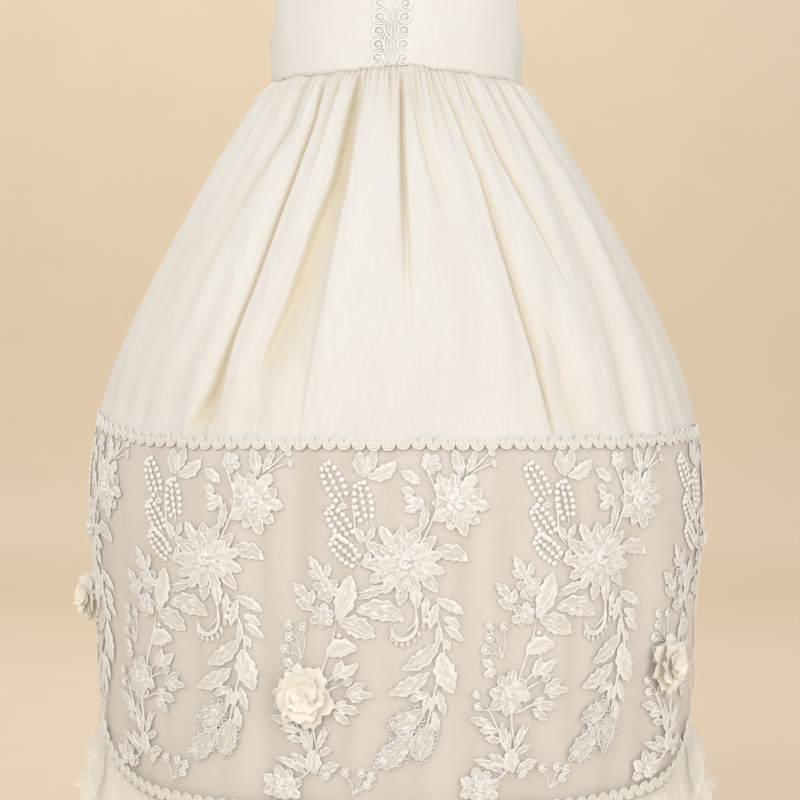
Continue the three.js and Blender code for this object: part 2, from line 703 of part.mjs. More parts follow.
function rose() {
  const steps = ROSE_PETALS * 2;
  const points = [0, 0, 0];
  for (const { radius, height, lobe } of ROSE_RINGS)
    for (let i = 0; i < steps; i++) {
      const reach = radius + (i % 2 ? lobe : -lobe);
      const way = (2 * Math.PI * i) / steps;
      points.push(reach * Math.cos(way), reach * Math.sin(way), height);
    }
  points.push(0, 0, 7.5);
  const index = [];
  const at = (ring, i) => 1 + ring * steps + (i % steps);
  const last = points.length / 3 - 1;
  for (let i = 0; i < steps; i++) {
    index.push(0, at(0, i + 1), at(0, i));
    for (let ring = 0; ring < ROSE_RINGS.length - 1; ring++)
      index.push(
        at(ring, i), at(ring, i + 1), at(ring + 1, i + 1),
        at(ring, i), at(ring + 1, i + 1), at(ring + 1, i),
      );
    index.push(at(ROSE_RINGS.length - 1, i), at(ROSE_RINGS.length - 1, i + 1), last);
  }
  return new THREE.BufferGeometry()
    .setAttribute("position", new THREE.Float32BufferAttribute(points, 3))
    .setIndex(index);
}

ROSES.forEach(({ angle, z, spin, on }, i) => {
  const flower = addMesh(`rose_${i + 1}`, rose(), CHIFFON);
  const foot = bodyPoint(angle, z, ROSE_SEAT[on] + laceLift(z));
  const aside = bodyPoint(angle + 1, z).sub(bodyPoint(angle - 1, z)).normalize();
  const outward = aside.clone().cross(new THREE.Vector3(0, 0, 1)).normalize();
  flower.position.copy(foot);
  flower.quaternion
    .setFromUnitVectors(new THREE.Vector3(0, 0, 1), outward)
    .multiply(new THREE.Quaternion().setFromAxisAngle(new THREE.Vector3(0, 0, 1), spin));
});

export default gown;
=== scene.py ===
# Visual model of a sleeveless christening gown: silk bodice and gathered skirt, embroidered
# lace panel over a lining, gimp braids, ruffles and three fabric flowers.
# Shapes are worked out in millimetres, on the same surfaces as the CAD solids.
import math

import bpy
import numpy as np
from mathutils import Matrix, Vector


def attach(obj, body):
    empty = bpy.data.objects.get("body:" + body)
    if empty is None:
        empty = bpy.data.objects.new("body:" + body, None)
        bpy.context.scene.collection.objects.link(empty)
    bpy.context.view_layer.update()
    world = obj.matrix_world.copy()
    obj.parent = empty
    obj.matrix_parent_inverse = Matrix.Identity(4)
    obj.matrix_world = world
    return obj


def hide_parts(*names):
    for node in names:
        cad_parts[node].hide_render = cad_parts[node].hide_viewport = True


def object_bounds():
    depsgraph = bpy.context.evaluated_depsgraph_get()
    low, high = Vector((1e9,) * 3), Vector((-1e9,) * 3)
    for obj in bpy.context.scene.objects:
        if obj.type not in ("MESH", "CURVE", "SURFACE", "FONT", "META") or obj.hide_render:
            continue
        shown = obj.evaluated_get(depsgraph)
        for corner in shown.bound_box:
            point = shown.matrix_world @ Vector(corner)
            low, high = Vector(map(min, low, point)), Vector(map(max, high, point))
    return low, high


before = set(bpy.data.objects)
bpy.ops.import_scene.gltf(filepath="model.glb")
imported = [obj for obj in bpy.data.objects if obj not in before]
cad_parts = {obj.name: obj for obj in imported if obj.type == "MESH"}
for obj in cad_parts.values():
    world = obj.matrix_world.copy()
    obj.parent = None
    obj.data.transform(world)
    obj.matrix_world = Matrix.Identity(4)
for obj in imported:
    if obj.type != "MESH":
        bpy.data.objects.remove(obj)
cad_box = [list(corner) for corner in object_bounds()]

MM = 0.001
UP = np.array([0, 0, 1.0])

# Driving dimensions, the same as in the CAD source
WAIST_Z = -138
CHEST_Z = -70
SEAM_FRONT_Z = -401.5
SEAM_RISE_LEFT = 17
SEAM_RISE_RIGHT = 7
LACE_HEM_Z = -648
NOTCH_TOP_Z = -592
NOTCH_ANGLE = 74
SILK = 1.5
NET = 1.0
SEWN_GAP = 0.3
LACE_LIFT = 4.1
LIFT_FROM_Z = -530
LIFT_FULL_Z = -582
LACE_REPEATS = 9
NET_OUT = -0.3
NET_FACE = NET_OUT + NET
BRAID_BED = NET_FACE + SEWN_GAP
DOME_LENGTH = 100
NECK_DROP_FRONT = 70.3
NECK_DROP_BACK = 52
NECK_X = 48
SHOULDER_SLOPE = 0.52

# Height, half width and half depth
BODY = np.array(
    [
        (-138, 92, 63),
        (-152, 104, 73),
        (-190, 127, 92),
        (-262, 168, 122),
        (-336, 203, 148),
        (-389, 219, 159),
        (-447, 225, 163),
        (-530, 220, 161),
        (-582, 215, 157),
        (-650, 212.5, 155.5),
        (-780, 215, 159),
    ],
    float,
)
TORSO = np.array([(-70, 94.5, 62.5), (-112, 92, 62.5), (-138, 90.5, 61.5)], float)
# Degrees from the middle and height up the dome of the shoulders
ARMHOLE = np.array(
    [(90, -42), (77, -35), (69, -26), (63.5, -7), (59, 28), (54, 68), (51.5, 99.6)], float
)


# Curves and surfaces


def spread(*values):
    """The values as arrays of one shape."""
    return np.broadcast_arrays(*[np.asarray(value, float) for value in values])


def circle(count):
    return np.linspace(0, 2 * np.pi, count, endpoint=False)


def run_along(points):
    """Distance along a line of points, from 0 at its first."""
    return np.concatenate([[0], np.cumsum(np.linalg.norm(np.diff(points, axis=0), axis=1))])


def read(pairs, at):
    """Value at a place, from pairs of (place, value)."""
    pairs = np.array(pairs, float)
    return np.interp(at, pairs[:, 0], pairs[:, 1])


def smooth(x, low, high):
    t = np.clip((np.asarray(x, float) - low) / (high - low), 0, 1)
    return t * t * (3 - 2 * t)


def between(rows, z, column):
    """Value of a column of a table on a smooth curve through its rows, which run downwards."""
    height = rows[:, 0]
    value = rows[:, column]
    n = len(rows)
    below = np.minimum(np.arange(n) + 1, n - 1)
    above = np.maximum(np.arange(n) - 1, 0)
    slope = (value[below] - value[above]) / (height[below] - height[above])
    i = np.clip(np.searchsorted(-height, -np.asarray(z, float), side="right") - 1, 0, n - 2)
    step = height[i + 1] - height[i]
    t = (z - height[i]) / step
    return (
        value[i] * (2 * t**3 - 3 * t**2 + 1)
        + value[i + 1] * (3 * t**2 - 2 * t**3)
        + slope[i] * step * (t**3 - 2 * t**2 + t)
        + slope[i + 1] * step * (t**3 - t**2)
    )


def body(angle, z, out=0.0):
    """A point of the gown below the waist: degrees from the centre front, height, how far out."""
    angle, z, out = spread(angle, z, out)
    way = np.radians(angle)
    x = (between(BODY, z, 1) + out) * np.sin(way)
    y = -(between(BODY, z, 2) + out) * np.cos(way)
    return np.stack([x, y, z], -1)


def seam_z(angle):
    """The seam of silk and lace, which rises towards both sides."""
    side = np.sin(np.radians(angle))
    return SEAM_FRONT_Z + np.where(side < 0, SEAM_RISE_LEFT, SEAM_RISE_RIGHT) * side**8


def turn(angle):
    """The same angle between -180 and 180 degrees."""
    return (np.asarray(angle, float) + 180) % 360 - 180


def from_centre(angle):
    """Degrees from the nearer of the centre front and the centre back."""
    return 90 - np.abs(np.abs(turn(angle)) - 90)


def rounded_line(angle, notch):
    """A lower edge with rounded corners, which turn up to a notch at each side."""
    share = np.minimum(from_centre(angle) / notch, 1)
    return NOTCH_TOP_Z + (LACE_HEM_Z - NOTCH_TOP_Z) * (1 - share**6) ** (2 / 3)


def lace_edge_z(angle):
    return rounded_line(angle, NOTCH_ANGLE)


def ruffle_line_z(angle):
    return rounded_line(angle, NOTCH_ANGLE + 5) - 2


def lace_lift(z):
    """How far the lace stands out over the ruffles below it."""
    return LACE_LIFT * np.clip((LIFT_FROM_Z - z) / (LIFT_FROM_Z - LIFT_FULL_Z), 0, 1)


def sway(angle, z):
    """Broad soft folds of the lace panel and all that is sewn to it or hangs inside it."""
    way = np.radians(angle)
    grown = smooth(-np.asarray(z, float), 405, 520)
    return grown * (
        1.1 * np.sin(7 * way + 0.6) + 0.9 * np.sin(11 * way + 2.1) + 0.6 * np.sin(17 * way + 4.0)
    )


def on_gown(angle, z, out):
    """A point of the lace or of something on it, which follows the lace's own soft folds."""
    return body(angle, z, out + lace_lift(z) + sway(angle, z))


# Distance round the lace at the level where its repeats are spaced
ROUND_ANGLE = np.arange(0, 361, dtype=float)
ROUND_LACE = run_along(body(ROUND_ANGLE, -480.0))


def angle_at(distance):
    return np.interp(np.mod(distance, ROUND_LACE[-1]), ROUND_LACE, ROUND_ANGLE)


def noise(u, v, seed, octaves=4):
    """Smooth uneven waves between about -1 and 1, from a few sine waves in random directions."""
    own = np.random.default_rng(seed)
    total = np.zeros(np.broadcast(u, v).shape)
    for i in range(octaves * 3):
        way = own.uniform(0, 2 * np.pi)
        pitch = own.uniform(0.6, 1.8)
        total = total + np.sin(
            2 * np.pi * pitch * (u * np.cos(way) + v * np.sin(way)) + own.uniform(0, 2 * np.pi)
        )
    return total / math.sqrt(octaves * 3)


# Meshes


def make_object(name, verts, faces, uv=None, depth=None):
    """A mesh from points in millimetres. uv goes to the map "cloth" and depth to the map "depth"."""
    verts = np.asarray(verts, float).reshape(-1, 3) * MM
    faces = np.asarray(faces, np.int32)
    sides = faces.shape[1]
    mesh = bpy.data.meshes.new(name)
    mesh.vertices.add(len(verts))
    mesh.vertices.foreach_set("co", verts.ravel())
    mesh.loops.add(faces.size)
    mesh.loops.foreach_set("vertex_index", faces.ravel())
    mesh.polygons.add(len(faces))
    mesh.polygons.foreach_set("loop_start", np.arange(0, faces.size, sides, dtype=np.int32))
    if uv is not None:
        layer = mesh.uv_layers.new(name="cloth")
        flat = np.asarray(uv, float).reshape(-1, 2) * MM
        layer.data.foreach_set("uv", flat[faces.ravel()].ravel())
    if depth is not None:
        layer = mesh.uv_layers.new(name="depth")
        pairs = np.stack([np.ravel(depth), np.zeros(np.size(depth))], -1)
        layer.data.foreach_set("uv", pairs[faces.ravel()].ravel())
    mesh.update(calc_edges=True)
    mesh.validate()
    mesh.polygons.foreach_set("use_smooth", np.ones(len(mesh.polygons), bool))
    obj = bpy.data.objects.new(name, mesh)
    bpy.context.scene.collection.objects.link(obj)
    return obj


def grid_faces(columns, rows, closed=False):
    """Faces of a grid of points, which is joined up if it is closed."""
    i = np.arange(columns if closed else columns - 1)[:, None]
    j = np.arange(rows - 1)[None, :]
    after = (i + 1) % columns
    quads = [i * rows + j, i * rows + j + 1, after * rows + j + 1, after * rows + j]
    return np.stack([np.broadcast_to(q, (len(i), rows - 1)) for q in quads], -1).reshape(-1, 4)


def tube_faces(count, sides, closed):
    """Faces of a tube with so many rings of so many points."""
    i = np.arange(count if closed else count - 1)[:, None]
    j = np.arange(sides)[None, :]
    after = (i + 1) % count
    beside = (j + 1) % sides
    quads = [i * sides + j, after * sides + j, after * sides + beside, i * sides + beside]
    return np.stack([np.broadcast_to(q, (len(i), sides)) for q in quads], -1).reshape(-1, 4)


def tube_uv(path, way, radius):
    """Distance round a tube and along it, in millimetres."""
    across = np.broadcast_to(np.cos(way)[None, :] * radius, (len(path), len(way)))
    along = np.broadcast_to(run_along(path)[:, None], across.shape)
    return np.stack([across, along], -1).reshape(-1, 2)


def cloth_uv(points):
    """Distance across and down the cloth, in millimetres."""
    steps = np.linalg.norm(np.diff(points, axis=1), axis=2)
    down = np.concatenate([np.zeros((points.shape[0], 1)), np.cumsum(steps, 1)], 1)
    across = run_along(points[:, points.shape[1] // 2])
    return np.stack([np.broadcast_to(across[:, None], down.shape), down], -1)


def sheet_of(name, points, closed=False, depth=None):
    columns, rows = points.shape[:2]
    return make_object(name, points, grid_faces(columns, rows, closed), cloth_uv(points), depth)


def thicken(obj, thickness, offset=-1.0):
    """Gives a sheet its thickness, with a solidify modifier."""
    made = obj.modifiers.new("thickness", "SOLIDIFY")
    made.thickness = thickness * MM
    made.offset = offset
    made.use_even_offset = False
    return obj


def curve_through(points, steps):
    """A smooth curve through points, with this many steps between two of them."""
    points = np.asarray(points, float)
    ends = np.vstack([2 * points[0] - points[1], points, 2 * points[-1] - points[-2]])
    made = []
    t = np.linspace(0, 1, steps, endpoint=False)[:, None]
    for i in range(1, len(ends) - 2):
        a, b, c, d = ends[i - 1 : i + 3]
        squared = (2 * a - 5 * b + 4 * c - d) * t**2
        cubed = (3 * b - a - 3 * c + d) * t**3
        made.append(0.5 * (2 * b + (c - a) * t + squared + cubed))
    made.append(points[-1:])
    return np.vstack(made)


class Flat:
    """Shapes drawn on a flat cloth: x across, y down and h out of it. Each is kept as a part."""

    def __init__(self):
        self.parts = []

    def add(self, verts, faces, uv, fill=None):
        """fill is 0 where a shape is solid, 1 where its stitches are open and 2 where there is no
        thread, only painted shade.
        """
        verts = np.asarray(verts, float).reshape(-1, 3)
        if fill is None:
            fill = np.zeros(len(verts))
        self.parts.append((verts, np.asarray(faces, np.int32), uv.reshape(-1, 2), np.ravel(fill)))

    def cord(self, path, radius, h=0.0, sides=5, closed=False, taper=False):
        """A cord lying on the cloth. path holds x, y and, if it has a third value, height."""
        path = np.asarray(path, float)
        if path.shape[1] == 2:
            path = np.hstack([path, np.full((len(path), 1), float(h))])
        if closed:
            ahead = np.roll(path, -1, 0) - np.roll(path, 1, 0)
        else:
            ahead = np.gradient(path, axis=0)
        ahead[:, 2] = 0
        ahead /= np.linalg.norm(ahead, axis=1)[:, None] + 1e-9
        aside = np.stack([-ahead[:, 1], ahead[:, 0], np.zeros(len(path))], -1)
        way = circle(sides)
        size = np.full(len(path), float(radius))
        if taper:
            size = radius * np.clip(np.linspace(0, 1, len(path)) * 6, 0.3, 1)
            size = np.minimum(size, size[::-1])
        ring = aside[:, None, :] * np.cos(way)[None, :, None]
        up = UP[None, None, :] * (np.sin(way)[None, :, None] + 0.4)
        points = path[:, None, :] + size[:, None, None] * (ring + up)
        self.add(points, tube_faces(len(path), sides, closed), tube_uv(path, way, radius))

    def ring(self, x, y, radius, cord, h=0.0, sides=5, segments=12):
        """A ring of cord."""
        way = circle(segments)
        path = np.stack([x + radius * np.cos(way), y + radius * np.sin(way)], -1)
        self.cord(path, cord, h, sides, closed=True)

    def berry(self, x, y, radius, height=1.4, h=0.0, segments=8):
        """A round knot of thread."""
        way = circle(segments)[:, None]
        reach = radius * np.array([1, 0.8, 0.42, 0.04])[None, :]
        rise = h + height * np.array([0.0, 0.62, 0.94, 1.0])[None, :]
        rise = np.broadcast_to(rise, (segments, 4))
        points = np.stack([x + reach * np.cos(way), y + reach * np.sin(way), rise], -1)
        self.add(points, grid_faces(segments, 4, True), points[..., :2] - [x, y])

    def leaf(
        self, start, end, width, bend=0.0, style="satin", rise=1.3, h=0.0, blunt=0.5, teeth=0, steps=11
    ):
        """A leaf or petal from foot to tip. Its middle is bent sideways by some millimetres.

        A satin leaf is two smooth halves with a groove between. Any other style is a raised rim
        and midrib with open stitches between them.
        """
        start = np.asarray(start, float)
        end = np.asarray(end, float)
        along = end - start
        length = np.linalg.norm(along)
        along = along / length
        aside = np.array([-along[1], along[0]])
        t = np.linspace(0.0, 1.0, steps)
        middle = start + np.outer(t, along) * length + np.outer(4 * bend * t * (1 - t), aside)
        way = np.gradient(middle, axis=0)
        way /= np.linalg.norm(way, axis=1)[:, None]
        side = np.stack([-way[:, 1], way[:, 0]], -1)
        peak = 0.3 + 0.4 * blunt
        bent = np.where(t < peak, t / peak * 0.5, 0.5 + (t - peak) / (1 - peak) * 0.5)
        half = 0.5 * width * (np.sin(np.pi * np.clip(bent, 0.012, 0.988)) ** (0.95 - 0.45 * blunt))
        if teeth:
            half = half * (1 + 0.15 * np.sin(2 * np.pi * teeth * t + start[0]))
        if style == "satin":
            across = np.array([-1, -0.84, -0.42, -0.1, 0.0, 0.1, 0.42, 0.84, 1])
            height = np.array([0, 0.5, 1.0, 0.85, 0.35, 0.85, 1.0, 0.5, 0]) * rise * 0.62
            bare_and_shade = np.array([0, 0, 0.7, 0.6, 1.0, 0.6, 0.7, 0, 0.0])
        else:
            rim = 1 - 1.1 / (0.5 * width)
            across = np.array([-1, -0.5 - 0.5 * rim, -rim, -rim + 0.12, -0.1, 0.0])
            across = np.concatenate([across, -across[-2::-1]])
            height = np.array([0, 0.9, 0.8, 0.25, 0.25, 0.8, 0.25, 0.25, 0.8, 0.9, 0])
            height = height * rise * 0.52
            bare_and_shade = np.array([0, 0, 0.1, 1, 1, 0.1, 1, 1, 0.1, 0, 0.0])
        thin = np.clip(half / (0.22 * width), 0.3, 1)
        grow = np.clip(np.minimum(t * 7, (1 - t) * 7) + 0.25, 0, 1) * thin
        reach = half[:, None] * across[None, :]
        flat = middle[:, None, :] + side[:, None, :] * reach[..., None]
        up = h + height[None, :] * grow[:, None]
        points = np.concatenate([flat, up[..., None]], -1)
        # each leaf reads its stitches from its own place in the pattern
        shift = 7.0 * start[0] + 3.0 * start[1]
        uv = np.stack([reach, np.broadcast_to((t * length)[:, None] + shift, up.shape)], -1)
        fill = np.broadcast_to(bare_and_shade[None, :], up.shape) * np.clip(thin * 1.4 - 0.4, 0, 1)[:, None]
        self.add(points, grid_faces(*points.shape[:2]), uv, fill)

    def flower(self, x, y, radius, petals, spin=0.0, style="rim", rise=1.3, uneven=0.12):
        """Two rings of petals that overlap, a ring of small ones on them, and a knot in the middle."""
        own = np.random.default_rng(int(abs(x * 31 + y * 17)) + petals)
        # reach and start of the petals, their width, style, rise, height, turn and number
        rings = (
            (1.0, 0.12, 2.2, style, rise, 0.0, 0.0, petals),
            (0.7, 0.1, 1.7, style, rise, 0.6, 0.5, max(petals - 3, 5)),
            (0.42, 0.06, 0.95, "satin", 0.9, 1.4, 0.25, max(petals - 5, 4)),
        )
        for reach, start, width, kind, high, base, shift, count in rings:
            for k in range(count):
                way = spin + 2 * np.pi * (k + shift) / count
                far = radius * reach * (1 + own.uniform(-uneven, uneven))
                self.leaf(
                    (x + start * radius * np.cos(way), y + start * radius * np.sin(way)),
                    (x + far * np.cos(way), y + far * np.sin(way)),
                    width * np.pi * radius * 0.62 / count,
                    own.uniform(-0.05, 0.05) * radius,
                    kind if k % 4 else "satin",
                    high,
                    base if k % 2 else base + 0.3,
                    0.85,
                    3 if radius > 12 and reach > 0.5 else 0,
                    9 if reach * radius > 9 else 6,
                )
        self.ring(x, y, 0.13 * radius, 0.06 * radius + 0.15, 2.0, 5, 10)
        self.berry(x, y, 0.1 * radius, 0.9, 1.8, 7)

    def placed(self, place, keep=None):
        """All parts as one mesh's data, put on the gown by place(x, y, h)."""
        verts, faces, uvs, fills, count = [], [], [], [], 0
        for part, quads, uv, fill in self.parts:
            if keep is not None and not keep(part):
                continue
            verts.append(place(part[:, 0], part[:, 1], part[:, 2]))
            faces.append(quads + count)
            uvs.append(uv)
            fills.append(fill)
            count += len(part)
        return np.vstack(verts), np.vstack(faces), np.vstack(uvs), np.concatenate(fills)


# Materials

# Size of a pattern across and down the cloth in millimetres, and heights in metres
SLUB_SIZE = (0.9, 22)
SLUB_HEIGHT = 0.00016
WEFT_SIZE = (6, 0.45)
WEFT_HEIGHT = 0.00005
STITCH_SIZE = (1.5, 6.5)
HOLE_DEPTH = 0.0002
MESH_HEIGHT = 0.00005


def material(name):
    """A new material, its node tree and its only shader."""
    made = bpy.data.materials.new(name)
    made.use_nodes = True
    made.node_tree.nodes.clear()
    out = made.node_tree.nodes.new("ShaderNodeOutputMaterial")
    shader = made.node_tree.nodes.new("ShaderNodeBsdfPrincipled")
    made.node_tree.links.new(shader.outputs[0], out.inputs[0])
    return made, made.node_tree, shader


def node(tree, kind, **values):
    made = tree.nodes.new(kind)
    for key, value in values.items():
        setattr(made, key, value)
    return made


def math_node(tree, operation, a, b=None, clamp=False):
    made = tree.nodes.new("ShaderNodeMath")
    made.operation = operation
    made.use_clamp = clamp
    for slot, value in enumerate((a, b)):
        if value is None:
            continue
        if isinstance(value, (int, float)):
            made.inputs[slot].default_value = value
        else:
            tree.links.new(value, made.inputs[slot])
    return made.outputs[0]


def uv_scaled(tree, across, down, turned=0.0):
    """The cloth's own coordinates, in units of so many millimetres across and down."""
    uv = node(tree, "ShaderNodeUVMap", uv_map="cloth")
    mapping = node(tree, "ShaderNodeMapping")
    mapping.inputs["Scale"].default_value = (1000 / across, 1000 / down, 1)
    mapping.inputs["Rotation"].default_value = (0, 0, turned)
    tree.links.new(uv.outputs[0], mapping.inputs[0])
    return mapping.outputs[0]


def noise_of(tree, vector, scale=1.0, detail=3.0, roughness=0.55):
    made = node(tree, "ShaderNodeTexNoise")
    made.inputs["Scale"].default_value = scale
    made.inputs["Detail"].default_value = detail
    made.inputs["Roughness"].default_value = roughness
    tree.links.new(vector, made.inputs["Vector"])
    return made.outputs["Fac"]


def ramp(tree, value, low, high, color_a, color_b):
    made = node(tree, "ShaderNodeValToRGB")
    made.color_ramp.elements[0].position = low
    made.color_ramp.elements[1].position = high
    made.color_ramp.elements[0].color = (*color_a, 1)
    made.color_ramp.elements[1].color = (*color_b, 1)
    tree.links.new(value, made.inputs[0])
    return made.outputs[0]


def bump_of(tree, heights, shader):
    """heights is a list of (height socket, distance in metres)."""
    before = None
    for height, distance in heights:
        made = node(tree, "ShaderNodeBump")
        made.inputs["Strength"].default_value = 1.0
        made.inputs["Distance"].default_value = distance
        tree.links.new(height, made.inputs["Height"])
        if before is not None:
            tree.links.new(before, made.inputs["Normal"])
        before = made.outputs[0]
    tree.links.new(before, shader.inputs["Normal"])


def split(tree, vector):
    """The three numbers of a vector."""
    made = node(tree, "ShaderNodeSeparateXYZ")
    tree.links.new(vector, made.inputs[0])
    return made.outputs


def uv_split(tree, name):
    """Both numbers of the UV map with this name, and a third that is always 0."""
    return split(tree, node(tree, "ShaderNodeUVMap", uv_map=name).outputs[0])


def mixed_color(tree, share, tone, color):
    """Goes from a tone to a colour by a share between 0 and 1."""
    made = node(tree, "ShaderNodeMixRGB")
    tree.links.new(share, made.inputs["Fac"])
    tree.links.new(tone, made.inputs["Color1"])
    made.inputs["Color2"].default_value = (*color, 1)
    return made.outputs[0]


def map_range(tree, value, **limits):
    """Maps a value between limits, such as from_min=0.2, to others. Those not given are 0 and 1."""
    made = node(tree, "ShaderNodeMapRange")
    for key, limit in limits.items():
        made.inputs[key.replace("_", " ").title()].default_value = limit
    tree.links.new(value, made.inputs["Value"])
    return made.outputs[0]


def silk_material(name, color, shade, painted_crease_shade=None):
    """Silk with faint slubs down the cloth. Deep in the folds a painted warm shade is mixed in."""
    made, tree, shader = material(name)
    slub = noise_of(tree, uv_scaled(tree, *SLUB_SIZE), 1.0, 3, 0.6)
    fine = noise_of(tree, uv_scaled(tree, *WEFT_SIZE), 1.0, 2, 0.5)
    cloudy = noise_of(tree, uv_scaled(tree, 60, 110), 1.0, 2, 0.5)
    slub_part = math_node(tree, "MULTIPLY", slub, 0.55)
    cloudy_part = math_node(tree, "MULTIPLY", cloudy, 0.45)
    tone = ramp(tree, math_node(tree, "ADD", slub_part, cloudy_part), 0.34, 0.66, shade, color)
    # painted warm shade, mixed in as far as the map depth says
    if painted_crease_shade is not None:
        tone = mixed_color(tree, uv_split(tree, "depth")[0], tone, painted_crease_shade)
    tree.links.new(tone, shader.inputs["Base Color"])
    tree.links.new(map_range(tree, slub, to_min=0.45, to_max=0.6), shader.inputs["Roughness"])
    shader.inputs["Specular IOR Level"].default_value = 0.3
    shader.inputs["Sheen Weight"].default_value = 0.15
    shader.inputs["Sheen Roughness"].default_value = 0.4
    bump_of(tree, [(slub, SLUB_HEIGHT), (fine, WEFT_HEIGHT)], shader)
    return made


def thread_material(name, color, shade, bare_and_shade, pitch, groove_shade, depth):
    """Satin stitches or twisted cord: fine ridges across the way that the piece runs, with painted
    shade in the grooves between them.

    Where the map "depth" says that a shape is open, loops of thread leave holes over the net.
    """
    made, tree, shader = material(name)
    parts = uv_split(tree, "cloth")
    slant = math_node(tree, "MULTIPLY", math_node(tree, "ABSOLUTE", parts[0]), 0.8)
    down = math_node(tree, "SUBTRACT", parts[1], slant)
    rib = math_node(tree, "SINE", math_node(tree, "MULTIPLY", down, 2 * math.pi * 1000 / pitch))
    uneven = noise_of(tree, uv_scaled(tree, 2.2, 2.2), 1.0, 2, 0.5)
    lift = math_node(tree, "MULTIPLY", rib, math_node(tree, "ADD", uneven, 0.25))
    # painted shade: the grooves between the ribs take some of the colour for open places
    groove = math_node(tree, "MULTIPLY", math_node(tree, "MULTIPLY", rib, -1.0, clamp=True), groove_shade)
    tone = mixed_color(tree, groove, ramp(tree, uneven, 0.3, 0.7, shade, color), bare_and_shade)
    strokes = noise_of(tree, uv_scaled(tree, *STITCH_SIZE), 1.0, 2, 0.5)
    hole = map_range(tree, strokes, from_min=0.43, from_max=0.49)
    fill = uv_split(tree, "depth")[0]
    over = math_node(tree, "SUBTRACT", fill, 1.0, clamp=True)
    share = math_node(tree, "MULTIPLY", hole, fill)
    share = math_node(tree, "ADD", share, over, clamp=True)
    tree.links.new(mixed_color(tree, share, tone, bare_and_shade), shader.inputs["Base Color"])
    shader.inputs["Roughness"].default_value = 0.55
    shader.inputs["Specular IOR Level"].default_value = 0.3
    shader.inputs["Sheen Weight"].default_value = 0.15
    shader.inputs["Sheen Roughness"].default_value = 0.4
    bumps = [(lift, depth), (math_node(tree, "MULTIPLY", share, -1.0), HOLE_DEPTH)]
    bump_of(tree, bumps, shader)
    return made


def sheer_material(name, color, shade, on_thread, between_threads, pitch, glow=0.0, hem=None):
    """Net, tulle or chiffon: fine threads both ways, with openings between them.

    The two shares say how much the cloth covers there. A colour for hem is that of its rolled
    edge, where the map "depth" is 1.
    """
    made, tree, shader = material(name)
    parts = split(tree, uv_scaled(tree, pitch, pitch))
    lines = []
    for slope in (1.0, -1.0):
        across = math_node(tree, "MULTIPLY", parts[0], slope)
        down = math_node(tree, "MULTIPLY", parts[1], 0.5)
        run = math_node(tree, "MULTIPLY", math_node(tree, "ADD", across, down), math.pi)
        lines.append(math_node(tree, "ABSOLUTE", math_node(tree, "SINE", run)))
    lowest = math_node(tree, "MINIMUM", *lines)
    covered = map_range(
        tree, lowest, from_min=0.15, from_max=0.55, to_min=on_thread, to_max=between_threads
    )
    cloudy = noise_of(tree, uv_scaled(tree, 40, 90), 1.0, 2, 0.5)
    tone = ramp(tree, cloudy, 0.35, 0.65, shade, color)
    if hem is not None:
        rolled = uv_split(tree, "depth")[0]
        tone = mixed_color(tree, rolled, tone, hem)
        covered = math_node(tree, "MAXIMUM", covered, rolled)
    tree.links.new(tone, shader.inputs["Base Color"])
    tree.links.new(covered, shader.inputs["Alpha"])
    shader.inputs["Roughness"].default_value = 0.7
    shader.inputs["Specular IOR Level"].default_value = 0.2
    shader.inputs["Sheen Weight"].default_value = 0.2
    if glow:
        shader.inputs["Subsurface Weight"].default_value = glow
        shader.inputs["Subsurface Radius"].default_value = (0.004, 0.003, 0.002)
    bump_of(tree, [(math_node(tree, "SUBTRACT", 1.0, lowest), MESH_HEIGHT)], shader)
    return made


# A colour, the darker tone that it clouds into, then what is special to each
HEM_COLOR = (0.99, 0.98, 0.955)
# its last colour is a painted warm shade for deep in the folds
silk = silk_material(
    "silk_dupioni", (0.834, 0.824, 0.82), (0.785, 0.762, 0.738), painted_crease_shade=(0.765, 0.67, 0.505)
)
silk_plain = silk_material("silk_bodice", (0.848, 0.845, 0.842), (0.808, 0.795, 0.778))
# the last colour is that of the net through open stitches, and also painted shade in the grooves
# between stitches
thread = thread_material(
    "embroidery_thread", (0.95, 0.948, 0.955), (0.92, 0.914, 0.915),
    bare_and_shade=(0.745, 0.70, 0.64), pitch=1.9, groove_shade=0.2, depth=0.00009,
)
# the last colour is painted shade, in the gaps between the cords and in the grooves of their twists
gimp = thread_material(
    "gimp_cord", (0.985, 0.985, 0.975), (0.96, 0.955, 0.935),
    bare_and_shade=(0.84, 0.785, 0.70), pitch=0.9, groove_shade=0.08, depth=0.00003,
)
net = sheer_material(
    "lace_net", (0.875, 0.85, 0.82), (0.845, 0.815, 0.775), 0.29, 0.22, pitch=1.0, glow=0.3
)
tulle = sheer_material(
    "ruffle_tulle", (0.98, 0.955, 0.91), (0.955, 0.925, 0.875), 0.6, 0.45, pitch=0.9, hem=HEM_COLOR
)
chiffon = sheer_material("chiffon", (0.97, 0.935, 0.875), (0.96, 0.91, 0.83), 1.0, 0.93, pitch=0.7)
ruffle_chiffon = sheer_material(
    "ruffle_chiffon", (0.985, 0.95, 0.895), (0.965, 0.92, 0.855), 1.0, 0.97, pitch=0.7, hem=HEM_COLOR
)
# its last colour is painted shade, for the streaks of its folds
lining = silk_material(
    "lining_satin", (0.815, 0.765, 0.722), (0.79, 0.735, 0.685), painted_crease_shade=(0.68, 0.60, 0.515)
)


def dress(obj, mat, slot, *nodes):
    """Gives a piece its material and its place in the model."""
    obj.data.materials.clear()
    obj.data.materials.append(mat)
    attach(obj, "root")
    if nodes:
        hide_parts(*nodes)
    return obj


